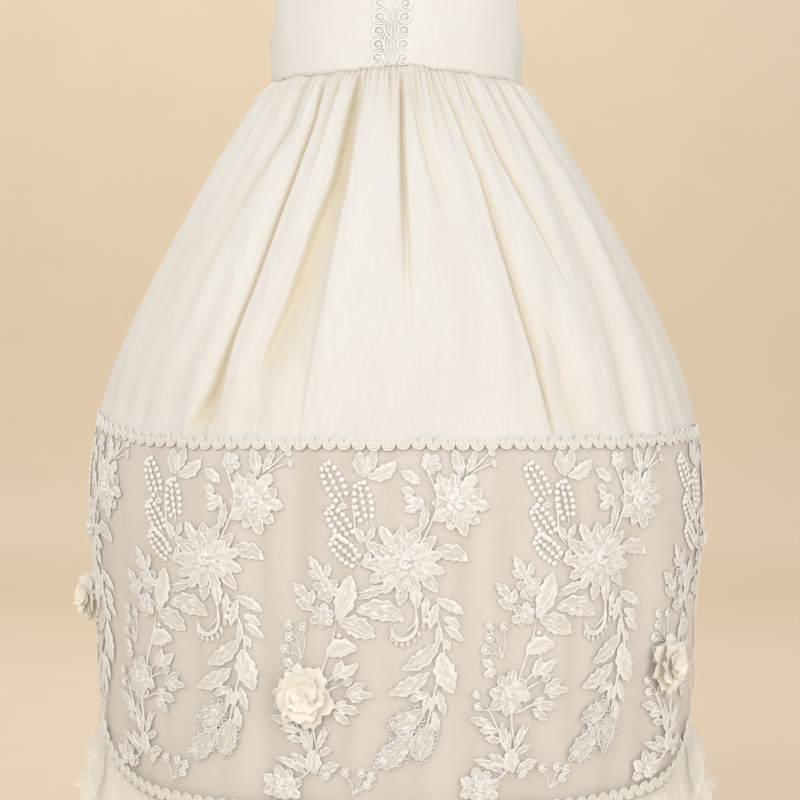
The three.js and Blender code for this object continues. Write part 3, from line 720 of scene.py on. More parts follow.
# Camera, as the photograph was taken
CAMERA_LENS = 85.1
CAMERA_PLACE = (0.0026, -1.4, -0.373)
camera_data = bpy.data.cameras.new("camera")
camera_data.lens = CAMERA_LENS
camera_data.sensor_width = 36
camera_data.clip_end = 20
camera = bpy.data.objects.new("camera", camera_data)
camera.location = CAMERA_PLACE
camera.rotation_euler = (math.radians(90), 0, 0)
bpy.context.scene.collection.objects.link(camera)
bpy.context.scene.camera = camera


# Silk bodice

SIDE_SEAM = 89.9
BODICE_FOOT = WAIST_Z - CHEST_Z
BODICE_THICKNESS = 1.3
# Degrees from the centre back: where the neckline of a back half ends, and half the lap
LAP_FROM = 18
LAP_HALF = 5
LAP_LIFT = SILK + SEWN_GAP
# Degrees from the centre front and how far the waist seam hangs lower or higher there
WAIST_HANG = (
    (-180, 0), (-100, -1), (-80, -2), (-43, -2.6), (-23, -2.2), (-6, 1.2),
    (6, 2.2), (20, -0.6), (40, -3.4), (66, -3.4), (100, -1), (180, 0),
)


def waist_waver(angle):
    """The gathers draw the waist seam up and down, and it hangs lower towards the sides."""
    way = np.radians(angle)
    small = 0.4 * np.sin(13 * way + 0.5) + 0.4 * np.sin(29 * way + 2.0) + 0.25 * np.sin(61 * way)
    return read(WAIST_HANG, turn(angle)) + small


def shoulder_z(x):
    """The shoulder seams slope down from the neck."""
    return SHOULDER_SLOPE * (NECK_X - np.abs(x))


def torso_place(angle, height, facing):
    """A point of the torso. Above the chest, height is how far up the dome of the shoulders."""
    way = np.radians(angle)
    low = np.minimum(height, 0)
    z = CHEST_Z + low
    x_low = between(TORSO, z, 1) * np.sin(way)
    y_low = facing * between(TORSO, z, 2) * np.cos(way)
    over = np.maximum(height, 0) / DOME_LENGTH * (np.pi / 2)
    x_high = TORSO[0, 1] * np.sin(way)
    y_high = facing * TORSO[0, 2] * np.cos(way) * np.cos(over)
    z_high = CHEST_Z + (shoulder_z(x_high) - CHEST_Z) * np.sin(over)
    pairs = ((x_high, x_low), (y_high, y_low), (z_high, z))
    return np.stack([np.where(height > 0, up, down) for up, down in pairs], -1)


def torso(angle, height, out, facing=-1):
    """A point so far out from the torso. facing is -1 for the front and 1 for the back."""
    angle, height, out = spread(angle, height, out)
    step = 0.5
    across = torso_place(angle + step, height, facing) - torso_place(angle - step, height, facing)
    up = torso_place(angle, height + step, facing) - torso_place(angle, height - step, facing)
    normal = np.cross(across, up) * -facing
    normal /= np.linalg.norm(normal, axis=-1, keepdims=True)
    return torso_place(angle, height, facing) + normal * out[..., None]


def top_edge(t, neck_drop):
    """The bodice's top edge at t: 0 to 6 armhole, 6 to 8 shoulder seam, 8 to 12 neckline."""
    armhole = curve_through(ARMHOLE, 20)
    neck_angle = math.degrees(math.asin(NECK_X / TORSO[0, 1]))
    tip = ARMHOLE[-1]
    at = np.arange(len(armhole)) / 20
    angle = np.interp(t, at, armhole[:, 0])
    height = np.interp(t, at, armhole[:, 1])
    seam = np.clip((t - 6) / 2, 0, 1)
    angle = np.where(t > 6, tip[0] + (neck_angle - tip[0]) * seam, angle)
    along = np.radians(90 - 90 * np.clip((t - 8) / 4, 0, 1))
    neck = t > 8
    angle = np.where(neck, neck_angle * np.sin(along), angle)
    height = np.where(neck, tip[1] - neck_drop / 90 * DOME_LENGTH * np.cos(along), height)
    return np.where(t <= 0, 89.9, angle), height


def bodice_wrinkles(x, z):
    """Slight unevenness of silk that is worn, and a drag line at each side."""
    soft = 0.5 * noise(x / 60, z / 75, 5, 3)
    drag = 0.9 * np.exp(-(((x - 84 - 0.22 * (z + 110)) / 7) ** 2)) * smooth(-z, 60, 100)
    drag_left = 0.9 * np.exp(-(((x + 82 + 0.16 * (z + 100)) / 8) ** 2)) * smooth(-z, 60, 100)
    return soft + drag + drag_left


def bodice_grid(angle_top, height_top, foot, facing, extra_out, rows=46):
    """Points of a bodice piece: a column from each place of its top edge down to the waist."""
    share = np.linspace(1, 0, rows)[None, :]
    angle = foot[:, None] + (angle_top - foot)[:, None] * share**1.2
    length = height_top[:, None] - BODICE_FOOT
    height = BODICE_FOOT + length * share
    flat = torso_place(angle, height, facing)
    depth = np.minimum((1 - share) * 12, share * 14)
    wrinkle = bodice_wrinkles(flat[..., 0], flat[..., 2]) * np.clip(depth, 0, 1)
    # the edge is turned in, with a line of stitches a few millimetres below it
    edge_drop = (1 - share) * length
    turned = np.exp(-((edge_drop / 2.2) ** 2)) - np.exp(-(((edge_drop - 5) / 1.1) ** 2))
    out = SILK + extra_out[:, None] + np.maximum(wrinkle, -0.4) * 0.8 + 0.35 * turned
    # the seam at the waist draws the silk up and down
    above_seam = share * length
    pucker = np.exp(-above_seam / 7) * (1 - np.exp(-above_seam / 1.5))
    out = out + 0.3 * noise(angle / 4, above_seam / 30, 9, 3) * pucker
    points = torso(angle, height, out, facing)
    round_it = angle if facing < 0 else 180 - angle
    points[..., 2] += waist_waver(round_it) * np.exp(-above_seam / 14)
    return points


def edge_places(neck_end, neck_count):
    """Places down the armhole, along the shoulder seam and along the neckline, as in top_edge."""
    armhole = np.linspace(0, 6, 49)
    shoulder = np.linspace(6, 8, 13)[1:]
    return np.concatenate([armhole, shoulder, np.linspace(8, neck_end, neck_count)[1:]])


def mirrored(values, sign):
    return np.concatenate([sign * values, values[:-1][::-1]])


def bodice_piece(name, points):
    piece = thicken(sheet_of(f"{name}_silk", points), BODICE_THICKNESS)
    return dress(piece, silk_plain, "silk", name)


def front_points():
    t = edge_places(12, 41)
    angle, height = top_edge(t, NECK_DROP_FRONT)
    foot = SIDE_SEAM * (1 - t / 12)
    angle = mirrored(angle, -1)
    return bodice_grid(angle, mirrored(height, 1), mirrored(foot, -1), -1, np.zeros(len(angle)))


def back_half(lift):
    """Columns of one back half from the side seam to the edge of its lap."""
    t = edge_places(11, 26)
    angle, height = top_edge(t, NECK_DROP_BACK)
    foot = SIDE_SEAM + (LAP_FROM - SIDE_SEAM) * t / 11
    along = np.linspace(0, 1, 13)[1:]
    lap = np.linspace(LAP_HALF, -LAP_HALF, 14)[1:]
    angle = np.concatenate([angle, angle[-1] + (LAP_HALF - angle[-1]) * along, lap])
    to_lap = height[-1] + (LAP_TOP - height[-1]) * along
    height = np.concatenate([height, to_lap, np.full(13, LAP_TOP)])
    foot = np.concatenate([foot, LAP_FROM + (LAP_HALF - LAP_FROM) * along, lap])
    out = np.concatenate([np.zeros(len(t)), lift * along, np.full(13, lift)])
    return angle, height, foot, out


bodice_front = bodice_piece("bodice_front", front_points())
LAP_TOP = float(top_edge(np.array([12.0]), NECK_DROP_BACK)[1][0])
angle, height, foot, out = back_half(LAP_LIFT)
back_right = bodice_piece("bodice_back_right", bodice_grid(angle, height, foot, 1, out))
angle, height, foot, out = back_half(0.0)
points = bodice_grid(-angle[::-1], height[::-1], -foot[::-1], 1, out[::-1])
back_left = bodice_piece("bodice_back_left", points)

# Silk-covered buttons down the lap
BUTTONS = 4
BUTTON_RADIUS = 5.5
BUTTON_HEIGHT = 3.5
BUTTON_COLUMNS = 36
# Outline of half a button: radius and height, as shares of its own
BUTTON_OUTLINE = np.array(
    [
        (0.02, 0), (0.55, 0), (0.8, 0.06), (0.95, 0.2), (1, 0.38), (0.98, 0.56),
        (0.9, 0.74), (0.74, 0.88), (0.5, 0.96), (0.25, 0.99), (0.02, 1),
    ]
)


def button_points(level):
    """Points of a button at this height, and its own coordinates."""
    foot_at = torso(0.0, level, LAP_LIFT + SILK + SEWN_GAP, 1)
    out_way = torso(0.0, level, LAP_LIFT + SILK + SEWN_GAP + 1, 1) - foot_at
    out_way /= np.linalg.norm(out_way)
    side_way = np.array([1.0, 0, 0])
    up_way = np.cross(out_way, side_way)
    way = circle(BUTTON_COLUMNS)[:, None]
    reach = BUTTON_RADIUS * BUTTON_OUTLINE[None, :, 0]
    rise = BUTTON_HEIGHT * BUTTON_OUTLINE[None, :, 1] + 0 * way
    pleated = reach * (1 + 0.012 * np.sin(9 * way))
    across = (pleated * np.cos(way))[..., None] * side_way
    up = (pleated * np.sin(way))[..., None] * up_way
    uv = np.stack([reach * np.cos(way), reach * np.sin(way)], -1)
    return foot_at + across + up + rise[..., None] * out_way, uv


button_faces = grid_faces(BUTTON_COLUMNS, len(BUTTON_OUTLINE), True)[:, ::-1]
for i in range(1, BUTTONS + 1):
    points, uv = button_points(LAP_TOP + (BODICE_FOOT - LAP_TOP) * i / (BUTTONS + 1))
    button = make_object(f"covered_button_{i}", points, button_faces, uv)
    dress(button, silk_plain, "button_silk", f"button_{i}")


# Trim down the centre front

TRIM_TOP_Z = -41
TRIM_LENGTH = 95.5
TRIM_LEAN = 0.05
COILS = 10
COIL_X = 9.0
COIL_RADIUS = 4.15
COIL_TURN = 2.35 * 2 * np.pi
LADDER_X = 2.6
RUNGS = 48
PITCH = TRIM_LENGTH / COILS


def on_front(x, z, out):
    """The bodice front at a place across and height."""
    x, z = spread(x, z)
    low = z <= CHEST_Z
    half_width = np.where(low, between(TORSO, np.minimum(z, CHEST_Z), 1), TORSO[0, 1])
    angle = np.degrees(np.arcsin(x / half_width))
    rise = np.clip((z - CHEST_Z) / (shoulder_z(x) - CHEST_Z), 0, 1)
    height = np.where(low, z - CHEST_Z, np.arcsin(rise) / (np.pi / 2) * DOME_LENGTH)
    return torso(angle, height, out)


def trim_place(x, y, h):
    """x across from the trim's middle and y down from its top. The trim leans a little."""
    z = TRIM_TOP_Z - y
    return on_front(-2.5 + TRIM_LEAN * (z + 95) + x, z, SILK + 0.35 + h)


def coil(drawing, x, y, side):
    """A cord coiled into a rosette round a knot, with a link to the ladder lace."""
    turns = np.linspace(0, COIL_TURN, 50)
    inward = 2.9 * smooth(turns, 2 * np.pi, COIL_TURN)
    reach = np.where(turns < 2 * np.pi, COIL_RADIUS, COIL_RADIUS - inward)
    way = turns * side + (np.pi if side > 0 else 0)
    lifted = 0.35 * smooth(turns, 5, 9)
    path = np.stack([x + reach * np.cos(way), y + reach * np.sin(way), lifted], -1)
    drawing.cord(path, 0.62, sides=6)
    drawing.berry(x, y, 0.9, 1.3, 0.2, 7)
    link = [(x - side * 4.2, y), (x - side * 5.6, y + 2.2), (x - side * 4.3, y + 4.6)]
    drawing.cord(curve_through(link, 5), 0.5)


trim_run = np.linspace(0, TRIM_LENGTH, 60)
for name, side in (("rosette_braid_left", -1), ("rosette_braid_right", 1)):
    coils = Flat()
    for k in range(COILS):
        coil(coils, side * COIL_X, PITCH * (k + 0.5), side)
    wave = side * (4.2 + 0.5 * np.sin(trim_run * 2 * np.pi / PITCH))
    coils.cord(np.stack([wave, trim_run], -1), 0.55)
    dress(make_object(f"{name}_coils", *coils.placed(trim_place)), gimp, "braid", name)

ladder = Flat()
for x in (-LADDER_X, 0.0, LADDER_X):
    ladder.cord(np.stack([x + 0.25 * np.sin(trim_run * 1.7 + x), trim_run], -1), 0.42)
for k in range(RUNGS):
    y = 1 + (TRIM_LENGTH - 2) * k / (RUNGS - 1)
    swing = 0.9 * math.sin(k * 2.4)
    left = [(-LADDER_X, y), (-LADDER_X / 2, y + 1 + swing), (0, y + 0.3)]
    right = [(0, y + 0.3), (LADDER_X / 2, y - 0.6 - swing), (LADDER_X, y + 0.4)]
    for rung in (left, right):
        ladder.cord(curve_through(rung, 3), 0.3)
dress(make_object("ladder_lace_cords", *ladder.placed(trim_place)), gimp, "braid", "ladder_lace")


# Silk skirt
# Each fold: its way down as (share of the drop, degrees from the centre front), its depth at
# both ends of its length, how far it spreads to its left and right in millimetres at waist and
# hem, and how sharp its bottom is (1 a crease, 2 a soft trough).
FRONT_FOLDS = [
    # left side
    ([(0.0, -78), (1.0, -76)], (1.5, 5.0), (8, 22), (8, 22), 2.0),
    ([(0.0, -64), (0.5, -66), (1.0, -62)], (3.0, 4.0), (6, 16), (7, 22), 1.8),
    ([(0.05, -52), (0.5, -55), (1.0, -54)], (3.0, 2.5), (5, 12), (6, 18), 1.7),
    ([(0.0, -41), (0.16, -39), (0.29, -44), (0.41, -47), (0.75, -50)],
     (4.5, 2.0), (5, 16), (4, 10), 1.5),
    ([(0.55, -38), (0.74, -42.4), (0.95, -48)], (1.0, 3.5), (6, 16), (5, 12), 1.8),
    ([(0, -32), (0.14, -29.3), (0.24, -30.1), (0.41, -30.8), (0.62, -32.8), (0.76, -34.6), (1, -36)],
     (2.0, 3.2), (4, 9), (5, 16), 1.9),
    ([(0.0, -23), (0.09, -24.4), (0.3, -25.4)], (1.5, 0.0), (3.5, 6), (3.0, 6), 1.9),
    # wide trough left of the centre, with a crisp panel edge on its right
    ([(0, -15.5), (0.2, -15.2), (0.34, -16.2), (0.45, -17.8), (0.56, -19.6), (0.66, -21.3),
      (0.76, -23), (1, -27.5)],
     (3.0, 3.0), (5.5, 13), (5, 14), 2.0),
    ([(0.1, -13.8), (0.34, -15), (0.47, -15.8), (0.62, -15.6), (0.82, -15.3), (1, -16.3)],
     (0.8, 1.0), (3.5, 9), (2, 4), 1.8),
    ([(0.0, -8.5), (0.12, -8.6), (0.35, -9.5)], (2.0, 0.0), (3.5, 7), (3.5, 7), 1.6),
    ([(0.0, -3), (0.06, -2.4), (0.22, -1.4)], (3.2, 0.0), (3, 4), (2.6, 4), 1.3),
    # centre
    ([(0, 2.2), (0.2, 1.9), (0.34, 1.8), (0.5, 2.2), (0.62, 2.7), (0.85, 2)],
     (2.2, 1.0), (3.2, 8), (4, 10), 1.9),
    ([(0.0, 4.4), (0.15, 6.9), (0.29, 9.4), (0.46, 13), (0.6, 14.5)],
     (1.5, 0.6), (3, 7), (4.5, 10), 1.9),
    ([(0.45, 8.0), (0.62, 13.2), (0.8, 16.5)], (0.8, 2.4), (8, 12), (8, 14), 2.0),
    ([(0.0, 16), (0.12, 16.9), (0.3, 19.4)], (3.6, 0.0), (3, 5), (3.5, 6), 1.4),
    ([(0, 20.2), (0.14, 21.9), (0.26, 23.4), (0.39, 24.5), (0.52, 25.5), (0.62, 26.8),
      (0.8, 27.4), (1, 29)],
     (2.2, 2.2), (5, 14), (5, 10), 1.9),
    # right side
    ([(0.0, 27), (0.12, 27.6), (0.3, 29.0)], (2.4, 0.0), (3, 5), (3, 5), 1.6),
    ([(0, 31), (0.08, 31.8), (0.23, 32.9), (0.31, 34.5), (0.43, 37), (0.49, 38.2), (0.62, 40.5)],
     (2.4, 1.0), (4, 11), (4, 9), 1.9),
    ([(0.56, 27.6), (0.66, 29.9), (0.76, 32.6), (0.88, 33), (1, 34.6)],
     (0.5, 6.0), (6, 15), (5, 12), 1.6),
    ([(0.0, 41), (0.1, 42), (0.3, 44)], (3.0, 0.0), (3.5, 6), (3.5, 6), 1.5),
    ([(0.0, 49.6), (0.15, 50.2), (0.3, 51.4), (0.6, 49), (1.0, 47)],
     (4.0, 3.0), (4.5, 16), (4.5, 14), 1.7),
    ([(0.0, 60), (0.26, 66), (0.44, 66.5), (0.6, 65.5), (1.0, 66)],
     (3.0, 4.0), (5, 16), (5, 20), 1.9),
    ([(0.0, 76), (1.0, 78)], (1.5, 4.5), (8, 20), (8, 22), 2.0),
]
FOLD_GROWTH = 1.25
# Troughs between two crisp panel edges: the left and right edge as (share, degrees), the depth
# beside each of them as (share, depth), and how soft each edge is in millimetres.
WEDGE_DEPTH = [(0, 2), (0.08, 5.5), (0.9, 5.5), (1, 3)]
MIDDLE_DEPTH = [(0, 2), (0.08, 5), (0.35, 5), (0.6, 1.5), (0.8, 0)]
FRONT_TROUGHS = [
    # a crease left of the middle that opens into a wedge
    ([(0, -32.3), (0.14, -29.7), (0.31, -30.7), (0.44, -31.7), (0.61, -33.0), (0.73, -34.5),
      (0.86, -36.2), (1, -40.2)],
     [(0, -31.4), (0.14, -29.0), (0.31, -30.0), (0.44, -31.0), (0.61, -32.3), (0.73, -33.7),
      (0.89, -34), (1, -36.8)],
     WEDGE_DEPTH, WEDGE_DEPTH, (1.2, 0.6)),
    # the wide trough left of the middle
    ([(0, -16.8), (0.1, -17.2), (0.32, -18), (0.44, -20.3), (0.64, -23), (0.75, -25.2),
      (0.86, -26.6), (1, -25)],
     [(0, -15.4), (0.1, -14.1), (0.32, -13.8), (0.42, -14.4), (0.6, -15.2), (0.79, -15.9), (1, -17)],
     [(0, 2), (0.1, 6), (0.6, 6.5), (0.78, 4.5), (0.88, 0.6)],
     [(0, 2), (0.1, 6), (0.35, 5), (0.5, 2.2), (0.9, 1.2), (1, 0.5)], (0.7, 0.6)),
    # the crease at the middle
    ([(0, 1.5), (0.2, 1.3), (0.34, 1.3), (0.5, 1.7), (0.8, 1.9)],
     [(0, 2.6), (0.2, 2.4), (0.34, 2.6), (0.5, 3.0), (0.8, 3.4)],
     MIDDLE_DEPTH, MIDDLE_DEPTH, (0.8, 0.7)),
    # the long crease right of the middle
    ([(0, 18.2), (0.07, 19.2), (0.12, 20.9), (0.2, 22.4), (0.3, 24), (0.46, 24.6), (0.65, 26.1),
      (0.84, 27.3), (1, 29)],
     [(0, 18.9), (0.07, 19.9), (0.12, 21.6), (0.2, 23.1), (0.3, 24.8), (0.48, 26), (0.68, 27.6),
      (0.87, 28.7), (1, 30)],
     [(0, 2), (0.08, 5), (0.9, 5.5), (1, 3)], [(0, 2), (0.08, 4), (0.9, 3.5), (1, 2)], (0.7, 1.8)),
    # a shorter one beside it
    ([(0, 29), (0.08, 30.4), (0.23, 32.6), (0.31, 34.2), (0.43, 36.7), (0.62, 40.2)],
     [(0, 29.8), (0.08, 31.2), (0.23, 33.5), (0.31, 35.4), (0.43, 38.2), (0.62, 42)],
     [(0, 2), (0.08, 5), (0.35, 5), (0.62, 0.3)],
     [(0, 2), (0.08, 4), (0.35, 3.5), (0.62, 0.2)], (0.7, 2.0)),
    # upper left
    ([(0, -24.5), (0.1, -24.6), (0.34, -26.4)], [(0, -23.6), (0.1, -23.7), (0.34, -24.8)],
     [(0, 2), (0.06, 4), (0.34, 0.2)], [(0, 2), (0.06, 4), (0.34, 0.2)], (1.4, 0.7)),
    ([(0, -43), (0.16, -40), (0.29, -45), (0.42, -49)],
     [(0, -42), (0.16, -38.6), (0.29, -42.6), (0.42, -45)],
     [(0, 1.5), (0.08, 3.6), (0.42, 0.2)], [(0, 1.5), (0.08, 3.6), (0.42, 0.2)], (2.5, 0.8)),
    # upper right of the middle
    ([(0, 5.2), (0.15, 6.6), (0.29, 9), (0.46, 12.6)],
     [(0, 6), (0.15, 7.8), (0.29, 11), (0.46, 15.6)],
     [(0, 2), (0.06, 4), (0.46, 0.3)], [(0, 2), (0.06, 3), (0.46, 0.2)], (0.8, 2.2)),
    ([(0, 12.4), (0.1, 12.5), (0.3, 13.8)], [(0, 13.2), (0.1, 13.4), (0.3, 15)],
     [(0, 2), (0.05, 3.2), (0.3, 0.2)], [(0, 2), (0.05, 3.2), (0.3, 0.2)], (0.7, 1.6)),
]
# Folds of the back, at the same places as in the CAD source
BACK_FOLDS = [
    ([(0.0, 102), (0.8, 104)], (6, 2), (5, 13), (4, 10), 1.5),
    ([(0.0, 111), (0.3, 110)], (3, 0), (3.5, 6), (3.5, 6), 1.5),
    ([(0.0, 121), (0.5, 120), (1.0, 118)], (7, 7), (4, 9), (5, 15), 1.2),
    ([(0.0, 131), (0.35, 131.5)], (3.4, 0), (3.5, 6), (3.5, 6), 1.5),
    ([(0.0, 142), (0.5, 140), (0.8, 140)], (7, 1.5), (4.5, 13), (3.5, 8), 1.3),
    ([(0.0, 151), (0.25, 152)], (3, 0), (3.5, 6), (3.5, 6), 1.5),
    ([(0.0, 160), (0.4, 162), (1.0, 163)], (8, 6), (3.4, 8), (5, 16), 1.25),
    ([(0.4, 169), (1.0, 172)], (0.5, 3.5), (8, 16), (8, 14), 1.9),
    ([(0.0, 181), (0.5, 179.5), (0.85, 179)], (7, 1.5), (4, 10), (4, 10), 1.25),
    ([(0.0, 190), (0.3, 191)], (3.2, 0), (3.5, 6), (3.5, 6), 1.5),
    ([(0.0, 201), (0.45, 203.5), (1.0, 205)], (8, 7), (5, 15), (3.2, 8), 1.2),
    ([(0.0, 212), (0.3, 213)], (3.2, 0), (3.5, 6), (3.5, 6), 1.5),
    ([(0.0, 224), (0.4, 223), (0.75, 222)], (6, 1.5), (4, 9), (4.5, 12), 1.4),
    ([(0.5, 232), (1.0, 234)], (0.5, 3.5), (8, 16), (8, 16), 1.9),
    ([(0.0, 243), (0.5, 245), (0.95, 246)], (7, 5), (4, 9), (5, 14), 1.3),
    ([(0.0, 258), (0.8, 258)], (4, 2), (4, 12), (4, 12), 1.6),
]


def per_degree(share):
    """Millimetres round the skirt in one degree, at a share of its drop."""
    return math.pi / 180 * (80 + 110 * share)


def fold_out(angle, share, folds):
    """How far the folds move the silk out or in, and how much painted warm shade each place gets."""
    out = np.zeros(np.broadcast(angle, share).shape)
    painted_crease_shade = np.zeros(out.shape)
    for way, (depth_a, depth_b), (left_a, left_b), (right_a, right_b), sharp in folds:
        start, last = way[0][0], way[-1][0]
        t = np.clip((share - start) / (last - start), 0, 1)
        depth = FOLD_GROWTH * (depth_a + (depth_b - depth_a) * t)
        fade = np.ones_like(share)
        if start > 0.02:
            fade = fade * smooth(share, start - 0.1, start + 0.08)
        if last < 0.98:
            fade = fade * (1 - smooth(share, last - 0.12, last + 0.06))
        away = (angle - read(way, share)) * per_degree(share)
        left = left_a + (left_b - left_a) * share
        right = right_a + (right_b - right_a) * share
        width = np.where(away < 0, left, right)
        soft = np.exp(-(np.abs(away / width) ** max(sharp, 1.5)))
        narrow = np.exp(-((np.abs(away) / (0.8 + 0.1 * width)) ** 1.15))
        keen = np.clip((1.75 - sharp) / 0.5, 0, 1)
        valley = soft * (1 - 0.5 * keen) + 0.62 * keen * narrow
        # the cloth beside a fold stands a little proud
        shoulder = np.exp(-(((np.abs(away) - 1.7 * width) / (0.8 * width)) ** 2))
        out = out - depth * fade * (valley - 0.13 * shoulder)
        # painted warm shade: full in the narrow creases, fainter over the soft troughs
        painted_fold_shade = keen * narrow + 0.3 * soft
        painted_crease_shade = np.maximum(painted_crease_shade, fade * np.clip(depth / 7, 0, 1) * painted_fold_shade)
    return out, painted_crease_shade


def trough_out(angle, share, troughs):
    """How far the silk lies in by the troughs, and how much of it is in their shade."""
    out = np.zeros(np.broadcast(angle, share).shape)
    shade = np.zeros(out.shape)
    for left_way, right_way, left_depth, right_depth, (soft_left, soft_right) in troughs:
        left, right = read(left_way, share), read(right_way, share)
        deep_left, deep_right = read(left_depth, share), read(right_depth, share)
        last = min(left_way[-1][0], right_way[-1][0])
        fade = 1 - smooth(share, last - 0.08, last + 0.02) if last < 0.98 else 1.0
        # how far inside each edge, in units of its own softness
        in_left = (angle - left) * per_degree(share) / soft_left
        in_right = (angle - right) * per_degree(share) / soft_right
        inside = 0.5 * (np.tanh(in_left) - np.tanh(in_right))
        u = np.clip((angle - left) / (right - left), 0, 1)
        depth = (deep_left + (deep_right - deep_left) * u) * fade
        # the cloth rolls over a little outside each edge
        roll = np.exp(-((in_left / 2.5 + 1.6) ** 2)) + np.exp(-((in_right / 2.5 - 1.6) ** 2))
        out = out - depth * inside + 0.1 * depth * roll
        # the warm shade reaches over both edges
        wide = 0.5 * (np.tanh(in_left + 0.9) - np.tanh(in_right - 0.9))
        shade = np.maximum(shade, np.clip(1.2 * wide, 0, 1) * np.clip(depth / 6, 0, 1) * 0.85)
    return out, shade


# Small folds at a seam, each drawn between these limits: how far from the end the first is, how
# many are short, lengths as shares of the drop, depths, widths and spacing in degrees, lean,
# how much they widen, and how sharp they are.
WAIST_GATHERS = {
    "margin": 1.2, "often": 0.7, "short": (0.03, 0.08), "long": (0.1, 0.2), "depth": (1.4, 3.0),
    "width": (0.32, 0.55), "lean": 3.5, "widen": 3.5, "power": 1.3, "spacing": (1.7, 3.6),
}
HEM_PUCKERS = {
    "margin": 1.0, "often": 0.75, "short": (0.04, 0.11), "long": (0.12, 0.26), "depth": (-0.9, 1.2),
    "width": (0.6, 1.5), "lean": 5, "widen": 0, "power": 2, "spacing": (1.8, 4.6),
}


def seam_folds(angle, away_share, seed, first, last, kind):
    """Small folds that a seam draws up in the silk. away_share is 0 at the seam."""
    own = np.random.default_rng(seed)
    out = np.zeros(np.broadcast(angle, away_share).shape)
    at = first + kind["margin"]
    while at < last - 1.0:
        length = own.uniform(*kind["short" if own.random() < kind["often"] else "long"])
        depth = own.uniform(*kind["depth"])
        width = own.uniform(*kind["width"])
        lean = own.uniform(-kind["lean"], kind["lean"])
        aside = (angle - at - lean * away_share) / (width * (1 + kind["widen"] * away_share))
        narrow = np.exp(-(np.abs(aside) ** kind["power"]))
        out = out - depth * narrow * np.exp(-((away_share / length) ** 1.5))
        at += own.uniform(*kind["spacing"])
    return out


def skirt_grid(first, last, columns, rows, folds, troughs, seed):
    """Points of the silk from the waist to the lace seam, and how much painted warm shade each gets."""
    even = np.linspace(-1, 1, columns)[:, None]
    share = (np.linspace(0, 1, rows) ** 1.15)[None, :]
    # columns spread with the folds
    even = even * (1 + 0.28 * (share - 0.35) * (1 - even**2))
    angle = (first + last) / 2 + (last - first) / 2 * even
    angle, share = np.broadcast_arrays(angle, share)
    top = WAIST_Z + 0.5
    z = top + (seam_z(angle) + 0.15 - top) * share
    drop = top - z
    rolled = 1.9 * np.exp(-(((drop - 7) / 6) ** 2)) * smooth(drop, 0.5, 3)
    tuck = 0.1 * np.exp(-drop / 1.0) + rolled
    end = np.minimum(angle - first, last - angle)
    calm = smooth(end, 0, 3)
    hem_calm = 1 - 0.55 * smooth(share, 0.93, 1.0)
    out, painted_crease_shade = fold_out(angle, share, folds)
    sunk, shade = trough_out(angle, share, troughs)
    # pressed flat where they are caught in the waist seam
    caught = 0.25 + 0.75 * smooth(drop, 0, 9)
    out = (out + sunk) * calm * hem_calm * caught
    # painted warm shade of the folds and troughs, and a thin line of it under the waist seam
    seam_shade = 0.75 * np.exp(-(((drop - 1.2) / 0.9) ** 2))
    painted_crease_shade = np.maximum(np.maximum(painted_crease_shade, shade) * caught, seam_shade)
    gathers = seam_folds(angle, share, seed, first, last, WAIST_GATHERS)
    gathers = gathers * (1 - 0.5 * np.exp(-drop / 1.5))
    out = out + gathers * calm
    # painted shade in the gathers
    painted_crease_shade = np.maximum(painted_crease_shade, np.clip(-gathers / 3, 0, 0.75))
    out = out + seam_folds(angle, 1 - share, seed + 1, first, last, HEM_PUCKERS) * calm
    out = out + 0.7 * noise(angle / 9.0, share * 1.6, seed + 2, 3) * smooth(share, 0.05, 0.25) * calm
    out = out + 0.1 * noise(angle / 2.6, share * 7, seed + 3, 4) * smooth(share, 0.1, 0.3)
    points = body(angle, z, 0.3 + out + tuck)
    points[..., 2] += waist_waver(angle) * np.exp(-drop / 16) * (1 - smooth(drop, 30, 60))
    return points, painted_crease_shade * hem_calm


# Degrees from the middle of each half of the skirt to its side seam
SILK_HALF = 89.92
# depth here is the painted warm shade of the folds, which the silk mixes in
points, depth = skirt_grid(-SILK_HALF, SILK_HALF, 760, 124, FRONT_FOLDS, FRONT_TROUGHS, seed=21)
skirt_front = sheet_of("silk_skirt_front", points, depth=depth)
dress(skirt_front, silk, "silk", "skirt_front")
points, depth = skirt_grid(180 - SILK_HALF, 180 + SILK_HALF, 340, 100, BACK_FOLDS, [], seed=31)
skirt_back = sheet_of("silk_skirt_back", points, depth=depth)
dress(skirt_back, silk, "silk", "skirt_back")


# Lace panels over the underskirt

PANEL_HALF = 89.85
PANEL_TOP_GAP = 0.15
LINING_OUT = -0.6
LINING_THICKNESS = 0.9
# How far the lining hangs below the line of the ruffles
LINING_DROP = 96


def panel_grid(centre, columns, rows, foot, out, lifted=None):
    """Points of a panel from the seam to its foot. lifted says what share of the lace's lift it has."""
    even = np.linspace(-1, 1, columns)
    # more columns where the edge turns up to the notch
    spaced = even * 0.55 + 0.45 * np.sign(even) * (1 - (1 - np.abs(even)) ** 1.5)
    angle = centre + PANEL_HALF * spaced
    share = np.linspace(0, 1, rows)[None, :]
    start = (seam_z(angle) - PANEL_TOP_GAP)[:, None]
    z = start + (foot(angle)[:, None] - start) * share
    angle = np.broadcast_to(angle[:, None], z.shape)
    lift = lace_lift(z) if lifted is None else lace_lift(z) * lifted(angle, z)
    return body(angle, z, out + lift + sway(angle, z))


def lining_lift(angle, z):
    """The lining lies out near the lace, but under the ruffles it hangs straight."""
    return 0.75 * smooth(z - ruffle_line_z(angle), 9, 18)


def lining_foot_z(angle):
    return ruffle_line_z(angle) - LINING_DROP


